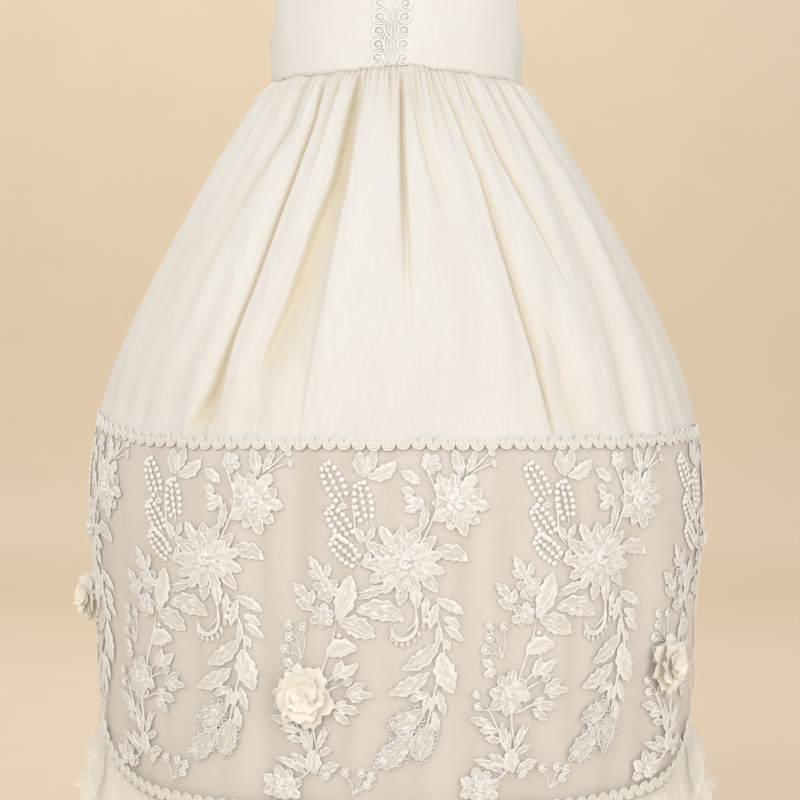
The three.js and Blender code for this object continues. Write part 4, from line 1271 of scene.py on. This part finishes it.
for side, centre in (("front", 0), ("back", 180)):
    points = panel_grid(centre, 90, 44, lining_foot_z, LINING_OUT, lining_lift)
    wide = np.degrees(np.arctan2(points[..., 0], -points[..., 1]))
    # painted shade of soft folds: streaks down the lining that take its darker colour
    painted_fold_streaks = np.clip(noise(wide / 8, points[..., 2] / 500, 51, 4) + 0.2, 0, 1.5) * 0.45
    under = thicken(sheet_of(f"underskirt_{side}_satin", points, depth=painted_fold_streaks), LINING_THICKNESS)
    dress(under, lining, "lining", f"underskirt_{side}")
    points = panel_grid(centre, 170, 70, lace_edge_z, NET_FACE)
    lace = sheet_of(f"lace_{side}_net", points)
    dress(lace, net, "net", f"lace_{side}")


# Gimp braids

ARC_POINTS = 7
ARC_HEIGHT = 0.42
# Half width of an arc as a share of the pitch, its cord's radius and how high it lies
BRAID_ARCS = ((0.45, 0.46, 0.15), (0.25, 0.36, 0.25))
UPPER_PITCH = 9.8
HEM_PITCH = 9.4
# How far the middle of the hem's braid lies in from the edge
HEM_BRAID_IN = 4.5


def scroll_braid(length, pitch):
    """Flat drawing of the braid: arcs above and below a middle cord. x runs along it."""
    braid = Flat()
    half_disc = grid_faces(ARC_POINTS, 2)
    way = np.linspace(0, np.pi, ARC_POINTS)
    count = int(round(length / pitch))
    pitch = length / count
    for k in range(count):
        for up, shift in ((-1, 0.0), (1, 0.5)):
            x = pitch * (k + shift)
            # painted shade: a sheet under each arc takes the gimp's last colour, as the shade in the
            # gaps between its cords
            rim_y = up * ARC_HEIGHT * pitch * np.sin(way)
            rim = np.stack([x + 0.44 * pitch * np.cos(way), rim_y, 0 * way + 0.25], -1)
            painted_gap_sheet = np.stack([rim, rim * [1, 0, 1]], 1).reshape(-1, 3)
            turned = half_disc if up > 0 else half_disc[:, ::-1]
            braid.add(painted_gap_sheet, turned, painted_gap_sheet[:, :2], np.full(len(painted_gap_sheet), 2.0))
            for reach, size, rise in BRAID_ARCS:
                arc_x = x + pitch * reach * np.cos(way)
                arc_y = up * (0.2 + ARC_HEIGHT * pitch * (reach / BRAID_ARCS[0][0]) * np.sin(way))
                braid.cord(np.stack([arc_x, arc_y, rise + 0.3 * np.sin(way)], -1), size, sides=4)
    run = np.linspace(0, length, count * 8 + 1)
    path = np.stack([run, 0.45 * np.sin(2 * np.pi * run / pitch * 2), 0.3 + 0 * run], -1)
    braid.cord(path, 0.36, sides=4)
    return braid


seam_angles = np.linspace(0, 360, 721)
seam_run = run_along(body(seam_angles, seam_z(seam_angles), 1.0))


def on_seam(x, y, h):
    """x along the seam of silk and lace and y down from it."""
    angle = np.interp(np.mod(x, seam_run[-1]), seam_run, seam_angles)
    wobble = 0.35 * np.sin(np.radians(angle) * 23) + 0.25 * np.sin(np.radians(angle) * 41)
    return body(angle, seam_z(angle) - y + wobble, BRAID_BED + h)


upper_braid = scroll_braid(seam_run[-1], UPPER_PITCH)
dress(make_object("braid_upper_gimp", *upper_braid.placed(on_seam)), gimp, "braid", "braid_upper")


def edge_frame(centre):
    """The lace edge of one panel: distance along it, angle, height and slope."""
    even = np.linspace(-1, 1, 900)
    angle = centre + (NOTCH_ANGLE - 0.5) * np.sign(even) * (1 - (1 - np.abs(even)) ** 1.6)
    z = lace_edge_z(angle)
    points = body(angle, z, 2.0)
    flat = np.linalg.norm(np.diff(points[:, :2], axis=0), axis=1)
    slope = np.arctan2(np.diff(z), flat)
    return run_along(points), angle, z, np.concatenate([slope, slope[-1:]])


def edge_place(run, angle, z, slope):
    """A function that puts a drawing along this edge: x along it and y down from the braid."""

    def place(x, y, h):
        at = np.interp(x, run, angle)
        level = np.interp(x, run, z)
        lean = np.interp(x, run, slope)
        up = HEM_BRAID_IN - y
        sideways = between(BODY, level, 1) * np.cos(np.radians(at))
        forwards = between(BODY, level, 2) * np.sin(np.radians(at))
        one_degree = np.hypot(sideways, forwards) * (math.pi / 180)
        at = at - up * np.sin(lean) / one_degree
        return on_gown(at, level + up * np.cos(lean), BRAID_BED + 0.2 + h)

    return place


for side, centre in (("front", 0), ("back", 180)):
    edge = edge_frame(centre)
    braid = scroll_braid(edge[0][-1], HEM_PITCH)
    edging = make_object(f"braid_hem_{side}_gimp", *braid.placed(edge_place(*edge)))
    dress(edging, gimp, "braid", f"braid_hem_{side}")


# Ruffles

# Folds round the gown, how far their crests stand out, and over what drop they open
RUFFLE_FOLDS = 34
RUFFLE_WAVE = 5.2
RUFFLE_OPENS = 32
FLAP_HALF = 15.9
ROLLED_HEM = 0.65
# Start of the tulle above the ruffle line
TULLE_ABOVE = 8
# (drop, how far out) of the tips at the sides
UPPER_TIPS = ((0, 0), (38, 3), (62, 20))
FLAP_TIPS = ((0, 0), (16, 0.6), (38, 11))


def lower_hem_z(angle):
    return -742 - 14 * np.cos(np.radians(angle)) ** 2


def upper_hem_z(angle):
    return ruffle_line_z(angle) - 62


def flap_hem_z(angle):
    return ruffle_line_z(angle) - 38


def ruffle_grid(first, last, columns, rows, above, hem, head, flare, tips):
    """Points of a ruffle from a little above the ruffle line down to its hem."""
    closed = last - first == 360
    angle = np.linspace(first, last, columns, endpoint=not closed)[:, None]
    share = (np.linspace(0, 1, rows) ** 1.1)[None, :]
    line = ruffle_line_z(angle)
    z = line + above + (hem(angle) - line - above) * share
    angle = np.broadcast_to(angle, z.shape)
    drop = np.maximum(line - z, 0)
    way = np.radians(angle)
    uneven = 0.35 * np.sin(way * 5 + 1) + 0.3 * np.sin(way * 9 + 2)
    fan = 9.0 * np.sin(np.radians(turn(angle)) * 2) * smooth(drop, 0, 60)
    phase = way * RUFFLE_FOLDS + np.radians(fan) * 4
    opened = RUFFLE_WAVE * (1 - np.exp(-drop / RUFFLE_OPENS))
    wave = -opened * np.cos(phase + uneven * np.sin(phase * 0.5) * 0.4)
    fine = 1.1 * np.sin(way * 117 + 2 * uneven) * np.exp(-drop / 34)
    fine = fine + 0.5 * np.sin(way * 191 + 3 * uneven) * np.exp(-drop / 20)
    fine = fine * smooth(drop, 0, 4)
    flared = flare * drop
    if tips is not None:
        # at the sides the layers stand out in tips, one below the other
        near = np.exp(-(((90 - from_centre(angle)) / 14) ** 2))
        flared = flared * (1 - near) + near * read(tips, drop)
        wave = wave * (1 - 0.85 * near)
        fine = fine * (1 - 0.6 * near)
        round_side = np.abs(turn(angle)) - 90
        flared = flared + 1.6 * near * smooth(drop, 4, 14) * np.sin(0.45 * round_side + 0.25 * drop)
    out = head + flared + wave + fine + sway(angle, np.maximum(z, -650))
    return body(angle, z, out + NET)


def hem_cord(path, radius, closed):
    """A rolled edge along the last row of a ruffle."""
    if closed:
        ahead = np.roll(path, -1, 0) - np.roll(path, 1, 0)
    else:
        ahead = np.gradient(path, axis=0)
    ahead /= np.linalg.norm(ahead, axis=1)[:, None]
    aside = np.cross(ahead, UP)
    aside /= np.linalg.norm(aside, axis=1)[:, None]
    way = circle(5)
    across = aside[:, None, :] * np.cos(way)[None, :, None]
    made = path[:, None, :] + radius * (across + UP[None, None, :] * np.sin(way)[None, :, None])
    # its rings run the other way round than a cord's
    faces = tube_faces(len(path), len(way), closed)[:, [0, 3, 2, 1]]
    return made.reshape(-1, 3), faces, tube_uv(path, way, radius)


def ruffle(node_name, cloth, mat, first, last, columns, rows, above, hem, head, flare, tips=None):
    """A ruffle with its rolled hem, named after its node and its cloth."""
    points = ruffle_grid(first, last, columns, rows, above, hem, head, flare, tips)
    closed = last - first == 360
    uv = cloth_uv(points).reshape(-1, 2)
    verts = points.reshape(-1, 3)
    faces = grid_faces(points.shape[0], points.shape[1], closed)
    rolled, rolled_faces, rolled_uv = hem_cord(points[:, -1], ROLLED_HEM, closed)
    obj = make_object(
        f"{node_name}_{cloth}",
        np.vstack([verts, rolled]),
        np.vstack([faces, rolled_faces + len(verts)]),
        np.vstack([uv, rolled_uv]),
        np.concatenate([np.zeros(len(verts)), np.ones(len(rolled))]),
    )
    return dress(obj, mat, cloth, node_name)


lower = ruffle(
    "ruffle_lower", "chiffon", ruffle_chiffon, 0, 360, 900, 26,
    above=0, hem=lower_hem_z, head=-0.1, flare=0.15,
)
upper = ruffle(
    "ruffle_upper", "tulle", tulle, 0, 360, 900, 22,
    above=TULLE_ABOVE, hem=upper_hem_z, head=1.2, flare=0.2, tips=UPPER_TIPS,
)
for side, centre in (("left", -90), ("right", 90)):
    flap = ruffle(
        f"ruffle_side_{side}", "tulle", tulle, centre - FLAP_HALF, centre + FLAP_HALF, 120, 16,
        above=TULLE_ABOVE, hem=flap_hem_z, head=2.5, flare=0.27, tips=FLAP_TIPS,
    )


# Embroidered sprays


def berry_spike(drawing, foot, tip, width, rows=6):
    """A spike of paired round knots along a short stem."""
    foot = np.asarray(foot, float)
    tip = np.asarray(tip, float)
    along = tip - foot
    aside = np.array([-along[1], along[0]]) / np.linalg.norm(along)
    drawing.cord(np.stack([foot + along * t for t in np.linspace(-0.12, 0.95, 6)]), 0.45)
    for k in range(rows):
        t = 0.06 + 0.88 * k / (rows - 1)
        spread = 0.5 * width * math.sin(math.pi * (0.18 + 0.72 * t)) ** 0.7
        for side in (-1, 1):
            spot = foot + along * (t + (0.05 if side > 0 else 0)) + aside * side * spread * 0.8
            drawing.berry(spot[0], spot[1], 2.0, 1.2, 0, 8)
        if k < rows - 1:
            spot = foot + along * (t + 0.09)
            drawing.berry(spot[0], spot[1], 1.8, 1.3, 0.3, 7)
    drawing.berry(tip[0], tip[1], 1.7, 1.5, 0, 7)


def eyelet(drawing, x, y, stalk, radius=2.6):
    """A ring of thread with a dot in it, on a thin stalk."""
    drawing.ring(x, y, radius, 0.7, 0, 5, 12)
    drawing.berry(x, y, 1.7, 0.6, 0, 8)
    middle = ((x + stalk[0]) / 2 + 1.5, (y + stalk[1]) / 2)
    drawing.cord(curve_through([(x, y + radius), middle, stalk], 4), 0.42)


def loop_leaf(drawing, start, end, width, bend=0.0, loops=4):
    """A broad leaf of open stitches, edged with small round loops."""
    start = np.asarray(start, float)
    end = np.asarray(end, float)
    along = end - start
    length = np.linalg.norm(along)
    along /= length
    aside = np.array([-along[1], along[0]])
    drawing.leaf(start, end, width, bend, "rim", 1.0, 0.0, 0.85, 0, 11)
    for k in range(loops):
        t = (k + 0.7) / (loops + 0.3)
        half = 0.47 * width * math.sin(math.pi * min(t * 0.95 + 0.02, 1.0)) ** 0.6
        middle = start + along * length * t + aside * 4 * bend * t * (1 - t)
        for side in (-1, 1):
            spot = middle + aside * side * half
            drawing.ring(spot[0], spot[1], 1.9, 0.5, 0.5, 4, 9)
        inner = start + along * length * min(t + 0.12, 0.97)
        for side in (1, -1):
            vein = [middle, (middle + inner) / 2 + side * aside, inner + side * aside * 0.55 * half]
            drawing.cord(np.stack(vein), 0.42, 0.6, 4)
    drawing.ring(end[0], end[1], 1.8, 0.5, 0.5, 4, 9)


spray = Flat()
# stems, in millimetres across and down from where the repeat meets the upper seam
STEMS = [
    [(-14, 0), (-16, 15), (-21, 30), (-19, 48), (-17, 62), (-22, 78), (-24, 92)],
    [(-29, 36), (-27, 48), (-26, 60), (-20, 68)],
    [(-36, 62), (-29, 66), (-25, 76)],
    [(18, 14), (24, 26), (27, 40), (18, 62), (12, 70)],
    [(40, 5), (42, 16), (40, 30)],
    [(62, 6), (55, 13), (48, 19)],
    [(64, 13), (56, 16), (49, 20)],
    [(8, 96), (13, 108), (12, 118), (4, 125)],
    [(-26, 98), (-12, 95), (-2, 92)],
    [(-40, 114), (-42, 128), (-47, 142), (-52, 156), (-57, 178), (-56, 192), (-53, 204)],
    [(-24, 92), (-33, 104), (-39, 116)],
    [(20, 100), (26, 112), (31, 128), (32, 146), (27, 158), (24, 170), (20, 186), (14, 196)],
    [(-36, 158), (-45, 162), (-52, 168)],
    [(-34, 172), (-44, 174), (-52, 178)],
    [(-30, 148), (-40, 152), (-48, 158)],
    [(-75, 172), (-68, 186), (-58, 203)],
    [(-44, 186), (-50, 196), (-56, 206)],
    [(-56, 206), (-60, 216), (-70, 224), (-80, 228)],
    [(-56, 206), (-50, 218), (-40, 230), (-34, 238)],
]
for stem in STEMS:
    spray.cord(curve_through(stem, 4), 0.75, 0.0, 5, taper=True)

# main flower and its neighbour
spray.flower(6, 78, 26, 13, 0.25)
spray.flower(41, 40, 20, 10, 0.1)
# small flowers
spray.flower(-46, 96, 9, 6, 0.3, "rim", 1.0)
spray.flower(-49, 114, 9, 6, 0.7, "rim", 1.0)
spray.flower(23, 13, 7, 5, 0.4, "satin", 0.9)
# lower flowers
spray.flower(-59, 166, 15.5, 8, 0.2)
spray.flower(-79, 227, 14, 8, 0.5)

# spikes of knots
for foot, tip, width in (
    ((-35, 37), (-47, 14), 14),
    ((-19, 51), (-24, 26), 13.5),
    ((-30, 62), (-44, 43), 13.5),
    ((-25, 78), (-42, 63), 14),
):
    berry_spike(spray, foot, tip, width)

# leaves: foot, tip, width, bend, style
LONG_LEAF = 18
LEAF_BREADTH = 1.16
LEAVES = [
    ((-19, 22), (0, 11), 8.5, 3.0, "satin"),
    ((-20, 2), (-26, 3), 7, 0, "satin"),
    ((-20, 22), (-24, 5), 9, -1.0, "rim"),
    ((-21, 21), (-14, 3), 7, 1.0, "rim"),
    ((-31, 42), (-38, 41), 4, 0.5, "satin"),
    ((-20, 65), (-27, 55), 4.5, 0.5, "satin"),
    ((-19, 64), (-14, 54), 4.5, 0.3, "satin"),
    ((-21, 80), (-17, 70), 4.5, 0.3, "satin"),
    ((-48, 91), (-58, 74), 6, 0.4, "satin"),
    ((-47, 89), (-44, 78), 5, 0.2, "satin"),
    ((-50, 90), (-59, 84), 4.5, 0.3, "satin"),
    ((-58, 104), (-70, 92), 6.5, 0.6, "rim"),
    ((-56, 110), (-68, 103), 6, 0.4, "rim"),
    ((-57, 106), (-56, 96), 5, 0.2, "satin"),
    ((-39, 116), (-30, 86), 12, 1.2, "satin"),
    ((-26, 110), (5, 116), 12, -4.2, "rim"),
    ((-38, 117), (-14, 127), 12, -1.8, "rim"),
    ((-25, 102), (-5, 94), 6, -1.2, "rim"),
    ((24, 72), (47, 77), 9.5, -3.4, "rim"),
    ((12, 33), (3, 30), 5.5, 0.4, "satin"),
    ((16, 27), (3, 18), 6.5, 0.6, "satin"),
    ((15, 42), (5, 44), 5.5, 0.4, "satin"),
    ((15, 40), (5, 35), 5.5, 0.4, "satin"),
    ((17, 44), (14, 34), 4.5, 0.2, "satin"),
    ((16, 58), (20, 40), 5.5, 0.4, "rim"),
    ((29, 30), (28, 19), 4.5, 0.2, "satin"),
    ((33, 34), (32, 22), 6.0, 0.2, "satin"),
    ((43, 22), (38, 4), 7.5, 0.6, "rim"),
    ((46, 20), (54, 3), 4.5, 0.4, "rim"),
    ((48, 28), (52, 20), 6.5, 0.2, "satin"),
    ((62, 8), (65, 4), 5.0, 0.2, "satin"),
    ((63, 14), (67, 12), 5.0, 0.2, "satin"),
    ((13, 92), (14, 108), 7, 0.4, "satin"),
    ((20, 100), (19, 114), 5, 0.2, "satin"),
    ((26, 102), (45, 112), 6.5, -0.8, "satin"),
    ((28, 104), (22, 122), 6, 0.6, "satin"),
    ((31, 114), (43, 121), 5.5, -0.4, "satin"),
    ((32, 120), (45, 130), 5.5, -0.4, "satin"),
    ((29, 118), (28, 134), 4.2, 0.2, "satin"),
    ((31, 128), (36, 136), 4.5, -0.2, "satin"),
    ((28, 130), (4, 148), 9.5, -2.4, "rim"),
    ((30, 137), (38, 164), 12.5, 1.4, "satin"),
    ((22, 150), (-5, 164), 9.5, -2.0, "rim"),
    ((21, 162), (8, 168), 5, -0.8, "rim"),
    ((28, 162), (33, 178), 5.5, 0.4, "satin"),
    ((22, 163), (19, 176), 5.0, 0.2, "satin"),
    ((26, 164), (23, 176), 4.0, 0.2, "satin"),
    ((25, 175), (28, 190), 5.0, 0.2, "satin"),
    ((14, 184), (0, 192), 5.0, -0.8, "rim"),
    ((-47, 140), (-26, 135), 10.5, -3.4, "satin"),
    ((-41, 156), (-36, 142), 6.5, 0.3, "satin"),
    ((-38, 154), (-25, 144), 6.0, 0.2, "satin"),
    ((-36, 158), (-29, 154), 5.0, 0.4, "rim"),
    ((-34, 166), (-20, 157), 6.0, -0.5, "rim"),
    ((-31, 165), (-15, 165), 5.0, -0.3, "rim"),
    ((-32, 164), (-23, 169), 5.5, 0.2, "rim"),
    ((-41, 174), (-24, 176), 6.0, -0.6, "rim"),
    ((-42, 176), (-31, 184), 5.5, 0.3, "rim"),
    ((-42, 173), (-33, 169), 4.0, 0.3, "satin"),
    ((-70, 148), (-78, 143), 5.5, 0.2, "satin"),
    ((-68, 150), (-77, 153), 5.5, 0.2, "satin"),
    ((-70, 187), (-87, 181), 5.5, 0.8, "rim"),
    ((-66, 190), (-80, 189), 5.0, 0.3, "satin"),
    ((-64, 197), (-76, 194), 4.5, 0.3, "rim"),
    ((-60, 204), (-64, 184), 6.0, -0.4, "rim"),
    ((-55, 203), (-48, 186), 4.5, 0.5, "rim"),
    ((-60, 206), (-58, 190), 3.5, 0.3, "satin"),
    ((-55, 218), (-56, 202), 10, -1.2, "satin"),
    ((-53, 206), (-43, 201), 4.5, -0.8, "rim"),
    ((-58, 216), (-73, 205), 5.5, 0.8, "rim"),
    ((-62, 218), (-84, 208), 5.0, 1.2, "rim"),
    ((-53, 218), (-38, 211), 6.5, -0.8, "rim"),
    ((-52, 222), (-44, 218), 4.0, -0.4, "satin"),
    ((-55, 226), (-55, 240), 5.5, 0.4, "satin"),
    ((-49, 228), (-44, 240), 5.5, 0.4, "satin"),
]
for start, end, width, bend, style in LEAVES:
    height = 1.25 if style == "satin" else 1.1
    teeth, steps = (4, 13) if math.dist(start, end) > LONG_LEAF else (2.5, 9)
    spray.leaf(start, end, LEAF_BREADTH * width, bend, style, height, teeth=teeth, steps=steps)

# broad leaves edged with loops
loop_leaf(spray, (19, 174), (-4, 186), 13, -1.8)
loop_leaf(spray, (10, 190), (-13, 211), 15, -2.0)
loop_leaf(spray, (24, 184), (15, 208), 15, 1.6)

# a crescent with a fringe of small loops
crescent = curve_through([(-4, 119), (-2, 126), (4, 129), (11, 126), (14, 118), (13, 108)], 4)
spray.cord(crescent, 1.0, 0.1, 6, taper=True)
spray.cord(crescent * [0.93, 1.0] + [0.6, -1.6], 0.7, 0.0, 5, taper=True)
FRINGE = ((-3, 130), (0, 132.5), (4, 134), (8, 133), (12, 131), (15, 127), (18, 122), (18, 115))
for x, y in FRINGE:
    spray.leaf((x - 0.5, y - 4.5), (x + 0.6, y + 0.5), 2.6, 0, "satin", 1.1, steps=7)

# eyelets on stalks
for x, y in ((-73, 120), (-63, 121), (-73, 128), (-76, 136)):
    eyelet(spray, x, y, (-64, 142))
for x, y in ((-82, 165), (-81, 173)):
    eyelet(spray, x, y, (-72, 178), 2.3)
for x, y in ((-34, 216), (-23, 216), (-16.5, 218), (-19, 223.5)):
    eyelet(spray, x, y, (-29, 230), 2.6)
spray.berry(-38, 126, 1.8, 1.5)
spray.berry(19, 116, 2.2, 1.5)


def spray_place(centre):
    """A function that puts the drawing on the lace round this place."""

    def place(x, y, h):
        angle = angle_at(centre + x)
        return on_gown(angle, seam_z(angle) - y, NET_FACE + 0.1 + h)

    return place


def spray_keep(centre):
    """A function that leaves out what would cross the seam or the lace's edge."""

    def keep(part):
        angle = angle_at(centre + part[:, 0])
        z = seam_z(angle) - part[:, 1]
        return bool(np.all(z > lace_edge_z(angle) + 9.5)) and bool(np.all(part[:, 1] > 2.0))

    return keep


for i in range(LACE_REPEATS):
    centre = ROUND_LACE[-1] * i / LACE_REPEATS
    placed = spray.placed(spray_place(centre), spray_keep(centre))
    obj = make_object(f"spray_{i + 1}_stitched", *placed)
    dress(obj, thread, "embroidery", f"spray_{i + 1}")


# Fabric flowers

PETAL_COLUMNS = 13
PETAL_ROWS = 12
# Number of petals, radius, half width, height, cup and curl of each layer
ROSE_LAYERS = (
    (6, 18.8, 12.5, 0.4, 1.2, 1.0),
    (5, 14.5, 11.0, 4.0, 2.4, 0.8),
    (4, 9.5, 8.5, 5.2, 3.6, 0.4),
    (2, 5.5, 5.0, 6.2, 3.6, 0.0),
)
# Place as degrees and height, spin, how far it is seated out, and how far it turns to the front
ROSES = [
    (-16.1, -568.5, 0.2, 2.9, 0),
    (57.3, -556, 0.9, 2.9, 0),
    (-88, -518, 1.7, 3.6, 30),
]


def rose_petal(radius, width, way, base, cup, curl, seed):
    """A ragged petal of chiffon, from the rose's middle outwards."""
    own = np.random.default_rng(seed)
    t = np.linspace(0.0, 1.0, PETAL_ROWS)[None, :]
    s = np.linspace(-1, 1, PETAL_COLUMNS)[:, None]
    ragged = 1 + 0.07 * np.sin(s * 5 + own.uniform(0, 6))
    ragged = ragged + 0.05 * np.sin(s * 11 + own.uniform(0, 6)) - 0.16 * np.abs(s) ** 3
    reach = radius * t * ragged
    half = width * np.sin(np.pi / 2 * np.clip(t * 1.15, 0.05, 1)) ** 0.8
    side = s * half
    wavy = np.sin(s * own.uniform(3, 5) + own.uniform(0, 6)) * t**1.5 * own.uniform(0.8, 1.7)
    up = base + cup * t**1.6 - curl * t**4 + wavy
    x = reach * math.cos(way) - side * math.sin(way)
    y = reach * math.sin(way) + side * math.cos(way)
    return np.stack(np.broadcast_arrays(x, y, up), -1)


def rose_drawing(number, spin):
    """All petals of one rose, drawn flat."""
    drawing = Flat()
    for layer, (petals, radius, width, base, cup, curl) in enumerate(ROSE_LAYERS):
        for k in range(petals):
            own = np.random.default_rng(100 * number + 10 * layer + k)
            way = spin + 2 * np.pi * (k + 0.35 * layer) / petals + own.uniform(-0.18, 0.18)
            size = radius * own.uniform(0.9, 1.08)
            cupped = cup * own.uniform(0.7, 1.3)
            seed = 50 * number + 9 * layer + k
            petal = rose_petal(size, width, way, base, cupped, curl, seed)
            drawing.add(petal, grid_faces(PETAL_COLUMNS, PETAL_ROWS), petal[..., :2] + 30 * k)
    return drawing


def rose_place(angle, z, seat, turned):
    """A function that seats a rose on the lace and turns it to the front by some degrees."""
    foot_at = on_gown(angle, z, seat)
    aside = body(angle + 1.0, z) - body(angle - 1.0, z)
    aside /= np.linalg.norm(aside)
    outward = np.cross(aside, UP)
    way = math.radians(turned)
    across = aside * math.cos(way) - outward * math.sin(way)
    facing = outward * math.cos(way) + aside * math.sin(way)

    def place(x, y, h):
        rise = np.clip(h, 0.2, 11)
        return foot_at + x[:, None] * across + y[:, None] * UP + rise[:, None] * facing

    return place


for i, (angle, z, spin, seat, turned) in enumerate(ROSES):
    placed = rose_drawing(i, spin).placed(rose_place(angle, z, seat, turned))
    rose = make_object(f"rose_{i + 1}_petals", *placed[:3])
    dress(rose, chiffon, "chiffon", f"rose_{i + 1}")


# Floor, backdrop and lights, in metres

# Backdrop from the front of the floor to the top of the wall: depth and height over the floor
SWEEP = (
    (-3.4, 0), (0, 0), (2.6, 0), (2.8, 0.015), (2.95, 0.055),
    (3.06, 0.12), (3.13, 0.22), (3.16, 0.36), (3.17, 0.6), (3.17, 3.4),
)
SWEEP_HALF_WIDTH = 3.2
FLOOR_BELOW = 0.03
PAPER = (0.783, 0.667, 0.527)
PAPER_SHADE = (0.768, 0.652, 0.512)
LAMP_COLOR = (0.95, 0.985, 1.0)
WORLD_COLOR = (1.0, 0.955, 0.89, 1)
WORLD_STRENGTH = 0.53
GOWN_MIDDLE = (0, 0, -0.45)

columns = np.linspace(-SWEEP_HALF_WIDTH, SWEEP_HALF_WIDTH, 9)
floor_z = cad_box[0][2] - FLOOR_BELOW
points = np.array([[(x, y, floor_z + z) for y, z in SWEEP] for x in columns]) / MM
faces = grid_faces(len(columns), len(SWEEP))[:, ::-1]
backdrop = make_object("backdrop", points, faces, points[..., :2])
paper, tree, shader = material("backdrop_paper")
coordinates = node(tree, "ShaderNodeTexCoord")
grain = noise_of(tree, coordinates.outputs["Object"], 9.0, 4, 0.6)
tree.links.new(ramp(tree, grain, 0.3, 0.7, PAPER_SHADE, PAPER), shader.inputs["Base Color"])
shader.inputs["Roughness"].default_value = 0.95
shader.inputs["Specular IOR Level"].default_value = 0.1
backdrop.data.materials.append(paper)


def area_light(name, place, target, size, power, color=(1, 1, 1)):
    """A round lamp of this size, which shines at a target."""
    data = bpy.data.lights.new(name, "AREA")
    data.shape = "DISK"
    data.size = size
    data.energy = power
    data.color = color
    light = bpy.data.objects.new(name, data)
    light.location = place
    light.rotation_euler = (Vector(target) - Vector(place)).to_track_quat("-Z", "Y").to_euler()
    bpy.context.scene.collection.objects.link(light)


area_light("key", (-1.1, -2.0, 0.7), GOWN_MIDDLE, 1.6, 23.5, LAMP_COLOR)
area_light("fill", (1.6, -1.6, -0.2), GOWN_MIDDLE, 1.8, 16.5, LAMP_COLOR)
area_light("wall_light", (-0.25, 0.9, 2.4), (-0.2, 3.1, -0.6), 2.0, 47)
world = bpy.data.worlds.new("studio")
world.use_nodes = True
world.node_tree.nodes["Background"].inputs[0].default_value = WORLD_COLOR
world.node_tree.nodes["Background"].inputs[1].default_value = WORLD_STRENGTH
bpy.context.scene.world = world
bpy.context.scene.view_settings.view_transform = "Standard"
